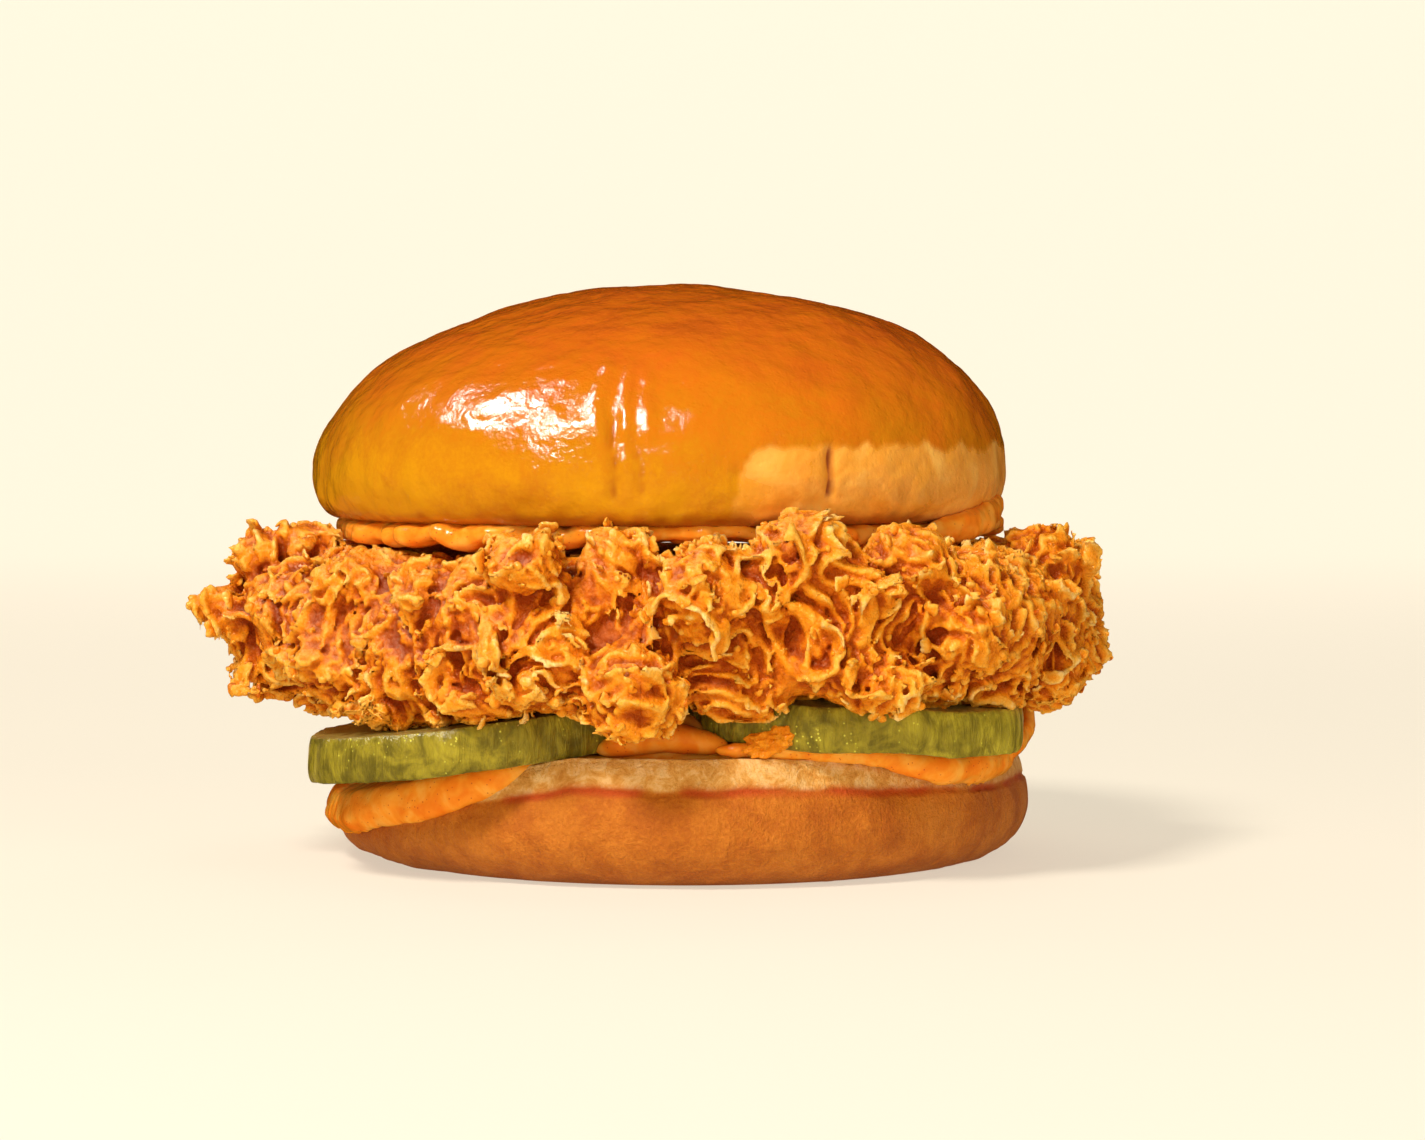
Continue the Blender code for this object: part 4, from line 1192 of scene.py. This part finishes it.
def crust_wedge(name, first, last, step, form, tree, petals, material):
    """One wedge of the craggy rim, closed by walls inside the fillet and against its neighbours."""
    form_low, base_grid, calm_grid = form
    middle, half = math.radians((first + last) / 2.0), math.radians((last - first) / 2.0)
    turns = np.linspace(middle - half, middle + half, 9)
    rim = np.stack([np.cos(turns), np.sin(turns)], axis=1) * 80.0
    corners = np.concatenate([rim, rim * 0.35]) + CRUST_CENTRE
    low = np.maximum(np.array([*corners.min(axis=0), CRUST_LOW[2]]) - 3.0, CRUST_LOW)
    high = np.minimum(np.array([*corners.max(axis=0), CRUST_HIGH[2]]) + 3.0, CRUST_HIGH)
    low, axes, grid = even_grid(low, high, step)
    count = [len(line) for line in axes]
    base = refined(base_grid, form_low, FORM_STEP, axes).reshape(-1)
    away = grid[:, :2] - CRUST_CENTRE
    turn = np.arctan2(away[:, 1], away[:, 0])
    beside = (np.abs((turn - middle + math.pi) % (2.0 * math.pi) - math.pi) - half) * np.hypot(away[:, 0], away[:, 1])
    within = (INNER_WALL - np.hypot(away[:, 0] / 66.0, away[:, 1] / 52.0)) * 50.0
    walls = np.maximum(beside - 0.5 * step, within)
    near = np.flatnonzero((walls < 4.0) & (base > SHELL[0]) & (base < SHELL[1]))
    points = grid[near]
    seen = shown(points)
    wild = 1.0 - sample(calm_grid, form_low, FORM_STEP, points)
    crags = crag_distance(tree, points, base[near], wild)
    crags = with_petals(points, crags, petals)
    crags = mix(base[near] + 0.6, crags, seen)
    crags = np.maximum(crags, points[:, 2] - greatest_height(points))
    crags = np.maximum(crags, least_height(points) - points[:, 2])
    whole = np.where(base > 0.0, 1.0, -1.0)
    whole[near] = crags
    field = np.maximum(whole, walls).reshape(count)
    whole = whole.reshape(count)
    for axis in range(3):
        side = np.moveaxis(field, axis, 0)
        side[0] = np.maximum(side[0], 0.1)
        side[-1] = np.maximum(side[-1], 0.1)
    points, faces = without_scraps(*skin_of(field, low, step))
    full = (whole < 0.0).astype(np.float32)
    made = new_object(name, mesh_of(name, points, faces.tolist()))
    mesh = made.data
    # How open the crust is about each point: the colour darkens the enclosed places as painted shade, and flakes are
    # strewn on the open ones.
    open_share = {}
    for label, reach in (("narrow", 0.8), ("wide", 2.4)):
        open_share[label] = 0.5 - sample(blurred(full, max(1, round(reach / step))), low, step, points)
        write_values(mesh, label, open_share[label])
    redder = 0.30 * smooth((-points[:, 0] - 15.0) / 30.0)
    write_values(mesh, "tone", 0.5 + 0.5 * noise_field(points, 6.0, 33.0) - redder)
    settle(made, None, material)
    return points, faces, open_share["narrow"]


def flake_shape(rng, length, columns, rows):
    """One curled, ruffled sheet of crust that grows from the origin along Z, as a closed thin shell."""
    width = length * rng.uniform(0.9, 1.7)
    lean, curl = rng.uniform(-0.3, 0.5), rng.uniform(0.2, 1.6)
    waves, phase = rng.uniform(0.05, 0.14), rng.uniform(0.0, 6.3)
    folds = rng.uniform(2.5, 4.5)
    u, v = np.meshgrid(np.linspace(-1.0, 1.0, columns + 1), np.linspace(0.0, 1.0, rows + 1))
    u, v = u.ravel(), v.ravel()
    ragged = 1.0 - 0.45 * u**2 + 0.08 * np.sin(4.0 * u + phase) + 0.05 * np.sin(9.0 * u + 2.0 * phase)
    bend = lean + curl * v
    half = width * (0.34 + 0.22 * np.sin(math.pi * (0.1 + 0.7 * v)))
    ruffle = waves * length * v * np.sin(folds * u + phase)
    reach = length * ragged * v
    middle = np.stack([reach * np.sin(bend) + ruffle, u * half, reach * np.cos(bend) - 0.22 * length], axis=1)
    grid = middle.reshape(rows + 1, columns + 1, 3)
    across = np.gradient(grid, axis=1).reshape(-1, 3)
    outward = np.gradient(grid, axis=0).reshape(-1, 3)
    normal = np.cross(across, outward)
    normal /= np.maximum(np.linalg.norm(normal, axis=1), 1e-6)[:, None]
    thick = mix(0.30, 0.15, np.maximum(v, np.abs(u)) ** 2)[:, None]
    points = np.concatenate([middle + normal * thick, middle - normal * thick])
    size = (rows + 1) * (columns + 1)
    faces = []
    for row in range(rows):
        for column in range(columns):
            a = row * (columns + 1) + column
            b, c, d = a + 1, a + columns + 2, a + columns + 1
            faces.append((a, b, c, d))
            faces.append((size + d, size + c, size + b, size + a))
    edge = [column for column in range(columns)]
    edge += [row * (columns + 1) + columns for row in range(rows)]
    edge += [rows * (columns + 1) + column for column in range(columns, 0, -1)]
    edge += [row * (columns + 1) for row in range(rows, 0, -1)]
    for a, b in zip(edge, edge[1:] + edge[:1]):
        faces.append((b, a, size + a, size + b))
    rim = np.maximum(v, np.abs(u) * smooth(v * 3.0))
    # Colour values rise from root to rim: painted shade at the flake's root, paler at its rim.
    return points, faces, np.tile(-0.05 + 0.30 * rim**2, 2), np.tile(0.02 + 0.20 * v, 2)


def crumb_shape(rng, size):
    """One knobbly crumb."""
    rings, segments = 5, 8
    angle = np.concatenate([[0.0], np.tile(np.arange(segments) / segments * 2.0 * math.pi, rings - 1), [0.0]])
    level = np.concatenate([[0.0], np.repeat(np.arange(1, rings) / rings, segments), [1.0]]) * math.pi
    points = np.stack([np.sin(level) * np.cos(angle), np.sin(level) * np.sin(angle), -np.cos(level)], axis=1)
    points *= np.array([size, size * rng.uniform(0.6, 1.1), size * rng.uniform(0.6, 1.0)])
    points *= (1.0 + 0.35 * noise_field(points + rng.uniform(0.0, 50.0), size * 0.9, 2.0))[:, None]
    faces = []
    last = len(points) - 1
    for column in range(segments):
        beside = (column + 1) % segments
        faces.append((0, 1 + beside, 1 + column))
        top = 1 + (rings - 2) * segments
        faces.append((last, top + column, top + beside))
        for row in range(rings - 2):
            low, high = 1 + row * segments, 1 + (row + 1) * segments
            faces.append((low + column, low + beside, high + beside, high + column))
    # Colour values rise towards the top: painted shade underneath, lighter on top.
    return points, faces, 0.08 + 0.08 * points[:, 2] / size, np.full(len(points), 0.16)


def shapes_to_strew(name, count, seed, shape):
    """A hidden collection of differing pieces, for the points to pick from."""
    rng = np.random.default_rng(seed)
    group = bpy.data.collections.new(name)
    for index in range(count):
        points, faces, narrow, wide = shape(rng)
        mesh = mesh_of(f"{name}_{index}", points, faces)
        write_values(mesh, "narrow", narrow)
        write_values(mesh, "wide", wide)
        group.objects.link(bpy.data.objects.new(f"{name}_{index}", mesh))
    return group


def strewing_nodes(name):
    """Points over the shown crust, each with one of the shapes, turned about the crust's normal."""
    tree = bpy.data.node_groups.new(name, "GeometryNodeTree")
    sockets = {}
    for label, kind in (("Geometry", "NodeSocketGeometry"), ("Shapes", "NodeSocketCollection"), ("Density", "NodeSocketFloat"),
                        ("Spacing", "NodeSocketFloat"), ("Seed", "NodeSocketInt"), ("Smallest", "NodeSocketFloat"),
                        ("Largest", "NodeSocketFloat"), ("Tilt", "NodeSocketFloat"), ("Surface", "NodeSocketMaterial")):
        sockets[label] = tree.interface.new_socket(label, in_out="INPUT", socket_type=kind).identifier
    tree.interface.new_socket("Geometry", in_out="OUTPUT", socket_type="NodeSocketGeometry")
    nodes, links = tree.nodes, tree.links
    given, result = nodes.new("NodeGroupInput"), nodes.new("NodeGroupOutput")

    seen = nodes.new("GeometryNodeInputNamedAttribute")
    seen.inputs["Name"].default_value = "strew"
    strew = nodes.new("GeometryNodeDistributePointsOnFaces")
    strew.distribute_method = "POISSON"
    links.new(given.outputs["Geometry"], strew.inputs["Mesh"])
    links.new(given.outputs["Spacing"], strew.inputs["Distance Min"])
    links.new(given.outputs["Density"], strew.inputs["Density Max"])
    links.new(seen.outputs["Attribute"], strew.inputs["Density Factor"])
    links.new(given.outputs["Seed"], strew.inputs["Seed"])

    def random_value(kind, shift, low, high):
        node = nodes.new("FunctionNodeRandomValue")
        node.data_type = kind
        start = {"FLOAT_VECTOR": 0, "FLOAT": 2, "INT": 4}[kind]
        for socket, value in ((node.inputs[start], low), (node.inputs[start + 1], high)):
            if isinstance(value, bpy.types.NodeSocket):
                links.new(value, socket)
            else:
                socket.default_value = value
        offset = nodes.new("ShaderNodeMath")
        offset.inputs[1].default_value = shift
        links.new(given.outputs["Seed"], offset.inputs[0])
        links.new(offset.outputs[0], node.inputs["Seed"])
        return node.outputs[{"FLOAT_VECTOR": 0, "FLOAT": 1, "INT": 2}[kind]]

    tilt_low = nodes.new("ShaderNodeMath")
    tilt_low.operation = "MULTIPLY"
    tilt_low.inputs[1].default_value = -1.0
    links.new(given.outputs["Tilt"], tilt_low.inputs[0])
    about = nodes.new("ShaderNodeCombineXYZ")
    links.new(random_value("FLOAT", 1, tilt_low.outputs[0], given.outputs["Tilt"]), about.inputs["X"])
    links.new(random_value("FLOAT", 2, tilt_low.outputs[0], given.outputs["Tilt"]), about.inputs["Y"])
    links.new(random_value("FLOAT", 3, 0.0, 6.2832), about.inputs["Z"])
    turned = nodes.new("FunctionNodeRotateRotation")
    turned.rotation_space = "LOCAL"
    links.new(strew.outputs["Rotation"], turned.inputs["Rotation"])
    as_rotation = nodes.new("FunctionNodeEulerToRotation")
    links.new(about.outputs["Vector"], as_rotation.inputs["Euler"])
    links.new(as_rotation.outputs["Rotation"], turned.inputs["Rotate By"])

    pick = nodes.new("GeometryNodeCollectionInfo")
    pick.inputs["Separate Children"].default_value = True
    pick.inputs["Reset Children"].default_value = True
    links.new(given.outputs["Shapes"], pick.inputs["Collection"])
    place = nodes.new("GeometryNodeInstanceOnPoints")
    place.inputs["Pick Instance"].default_value = True
    links.new(strew.outputs["Points"], place.inputs["Points"])
    links.new(pick.outputs["Instances"], place.inputs["Instance"])
    links.new(turned.outputs["Rotation"], place.inputs["Rotation"])
    links.new(random_value("FLOAT", 4, given.outputs["Smallest"], given.outputs["Largest"]), place.inputs["Scale"])
    links.new(random_value("INT", 5, 0, 1000), place.inputs["Instance Index"])

    tone = nodes.new("GeometryNodeStoreNamedAttribute")
    tone.domain = "INSTANCE"
    tone.data_type = "FLOAT"
    tone.inputs["Name"].default_value = "tone"
    links.new(place.outputs["Instances"], tone.inputs["Geometry"])
    links.new(random_value("FLOAT", 6, 0.0, 1.0), tone.inputs["Value"])
    real = nodes.new("GeometryNodeRealizeInstances")
    links.new(tone.outputs["Geometry"], real.inputs["Geometry"])
    coat = nodes.new("GeometryNodeSetMaterial")
    links.new(real.outputs["Geometry"], coat.inputs["Geometry"])
    links.new(given.outputs["Surface"], coat.inputs["Material"])
    links.new(coat.outputs["Geometry"], result.inputs["Geometry"])
    return tree, sockets


def strew_over_crust(name, crust, shapes, material, tree_and_sockets, values):
    """Small loose-edged pieces fused to the crust, as one finished piece."""
    tree, sockets = tree_and_sockets
    made = new_object(name, crust)
    maker = made.modifiers.new("Strew", "NODES")
    maker.node_group = tree
    maker[sockets["Shapes"]] = shapes
    maker[sockets["Surface"]] = material
    for label, value in values.items():
        maker[sockets[label]] = value
    apply_modifiers(made)
    points = points_of(made.data)
    high, low = greatest_height(points), least_height(points)
    points[:, 2] = np.where(points[:, 2] > high, high + 0.15 * (points[:, 2] - high), points[:, 2])
    points[:, 2] = np.where(points[:, 2] < low, low + 0.25 * (points[:, 2] - low), points[:, 2])
    move_points(made.data, points)
    return settle(made, None, material)


def strew_flakes(skins, material):
    """Small flakes and crumbs over the standing edges of the crust's wedges."""
    points, faces, strew, start = [], [], [], 0
    for wedge_points, wedge_faces, narrow in skins:
        points.append(wedge_points)
        faces.append(wedge_faces + start)
        strew.append(smooth((narrow + 0.02) / 0.12) * shown(wedge_points))
        start += len(wedge_points)
    crust = mesh_of("crust_to_strew", np.concatenate(points), np.concatenate(faces).tolist())
    write_values(crust, "strew", np.concatenate(strew))
    tree = strewing_nodes("strew_flakes")
    flakes = shapes_to_strew("flake_shape", 16, 6, lambda rng: flake_shape(rng, rng.uniform(0.9, 2.0), 6, 4))
    crumbs = shapes_to_strew("crumb_shape", 10, 7, lambda rng: crumb_shape(rng, rng.uniform(0.35, 0.75)))
    strew_over_crust("crust_flakes", crust.copy(), flakes, material, tree, {
        "Density": 70000.0, "Spacing": 0.0022, "Seed": 8, "Smallest": 0.6, "Largest": 1.2, "Tilt": 0.9})
    strew_over_crust("crust_crumbs", crust.copy(), crumbs, material, tree, {
        "Density": 90000.0, "Spacing": 0.0018, "Seed": 13, "Smallest": 0.5, "Largest": 1.2, "Tilt": 1.5})
    for group in (flakes, crumbs):
        for shape in list(group.objects):
            bpy.data.objects.remove(shape)
        bpy.data.collections.remove(group)
    bpy.data.meshes.remove(crust)


def fillet_core(form, material):
    """The plain body of the fillet, a little inside the crust all round."""
    form_low, base_grid, _ = form
    low, axes, grid = even_grid(CRUST_LOW, CRUST_HIGH, CORE_STEP)
    base = refined(base_grid, form_low, FORM_STEP, axes).reshape(-1)
    sunk = base + 0.6 + 2.6 * shown(grid)
    points, faces = without_scraps(*skin_of(sunk.reshape([len(line) for line in axes]), low, CORE_STEP))
    made = new_object("fillet_core", mesh_of("fillet_core", points, faces.tolist()))
    for label, value in (("narrow", 0.0), ("wide", 0.0), ("tone", 0.5)):
        write_values(made.data, label, np.full(len(points), value))
    settle(made, "chicken_fillet", material)


def fried_fillet(material):
    model = new_object("fillet_model", frame["nodes"]["chicken_fillet"].data.copy())
    remesh(model, 0.9, 12)
    form = form_with_lobes(model)
    bpy.data.objects.remove(model)
    tree = crag_nodes()
    petals = petal_places(form)
    skins = [crust_wedge(*wedge, form, tree, petals, material) for wedge in CRUST_WEDGES]
    strew_flakes(skins[:4], material)
    fillet_core(form, material)


# Studio


def studio_floor():
    """A pale sweep: floor in front and a wall far behind, with no visible line between them."""
    depth, radius = 1.6, 0.5
    rows = [(-2.0, 0.0), (depth - radius, 0.0)]
    for step in range(1, 13):
        turn = step / 12 * math.pi / 2.0
        rows.append((depth - radius + radius * math.sin(turn), radius - radius * math.cos(turn)))
    rows.append((depth, 2.5))
    points, faces = [], []
    for y, z in rows:
        points += [(-2500.0, y * 1000.0, z * 1000.0), (2500.0, y * 1000.0, z * 1000.0)]
    for row in range(len(rows) - 1):
        faces.append((2 * row, 2 * row + 1, 2 * row + 3, 2 * row + 2))
    floor = new_object("studio_floor", mesh_of("studio_floor", np.array(points), faces))
    made = Surface("pale_studio_floor", 0.9)
    made.set("Specular IOR Level", 0.0)
    grain = made.speckle(400.0, 2.0, 0.5)
    made.colour(made.ramp(grain, ((0.0, (0.40, 0.365, 0.305)), (1.0, (0.41, 0.374, 0.312)))))
    made.set("Emission Color", (1.0, 0.905, 0.735, 1.0))
    apart = made.nodes.new("ShaderNodeSeparateXYZ")
    made.links.new(made.place, apart.inputs["Vector"])
    far = made.between(apart.outputs["Y"], -0.2, 1.3)
    glow = made.maths("ADD", made.maths("MULTIPLY", far, 0.27), 0.56)
    made.links.new(glow, made.shader.inputs["Emission Strength"])
    floor.data.materials.append(made.material)
    floor.visible_glossy = False


def area_light(name, place, aim, size, power, colour, gleams, lights_up=True):
    lamp = bpy.data.lights.new(name, "AREA")
    lamp.shape = "RECTANGLE"
    lamp.size, lamp.size_y = size
    lamp.energy = power
    lamp.color = colour
    made = bpy.data.objects.new(name, lamp)
    made.location = place
    made.rotation_euler = (Vector(aim) - Vector(place)).to_track_quat("-Z", "Y").to_euler()
    made.visible_glossy = gleams
    made.visible_diffuse = lights_up
    bpy.context.scene.collection.objects.link(made)


def lights():
    aim = (0.0, 0.0, 0.045)
    area_light("key_window", (-0.36, -0.58, 0.74), aim, (0.22, 0.18), 9.0, (1.0, 0.96, 0.88), True)
    area_light("low_fill", (-0.25, -1.15, 0.06), aim, (0.9, 0.30), 8.0, (1.0, 0.95, 0.86), False)
    area_light("right_fill", (0.75, -0.85, 0.35), aim, (0.5, 0.5), 2.6, (1.0, 0.95, 0.86), False)
    area_light("soft_overhead", (0.1, 0.1, 1.2), aim, (0.7, 0.7), 1.0, (1.0, 0.95, 0.86), False)
    area_light("window_gleam", (-0.50, -0.10, 0.76), (-0.026, -0.042, 0.066), (0.26, 0.17), 8.0, (1.0, 0.97, 0.92), True, False)
    world = bpy.data.worlds.new("soft_room")
    world.use_nodes = True
    world.node_tree.nodes["Background"].inputs["Color"].default_value = (1.0, 0.90, 0.74, 1.0)
    world.node_tree.nodes["Background"].inputs["Strength"].default_value = 0.13
    world.cycles_visibility.glossy = False
    bpy.context.scene.world = world


def camera():
    aim = Vector((0.0041, 0.0, 0.0417))
    distance, elevation = 0.585, math.radians(2.5)
    eye = bpy.data.cameras.new("camera")
    eye.lens = 100.0
    eye.sensor_width = 36.0
    made = bpy.data.objects.new("camera", eye)
    made.location = aim + Vector((0.0, -distance * math.cos(elevation), distance * math.sin(elevation)))
    made.rotation_euler = (aim - made.location).to_track_quat("-Z", "Y").to_euler()
    bpy.context.scene.collection.objects.link(made)
    bpy.context.scene.camera = made
    bpy.context.scene.view_settings.view_transform = "Standard"


def main():
    sauce = sauce_material()
    pickle = pickle_material()
    bun_heel()
    sauce_lower(sauce)
    for name in PICKLES:
        pickle_slice(name, pickle)
    crust = fried_crust_material()
    fried_fillet(crust)
    lodged_crumb(crust)
    sauce_upper(sauce)
    bun_crown()
    studio_floor()
    lights()
    camera()


main()
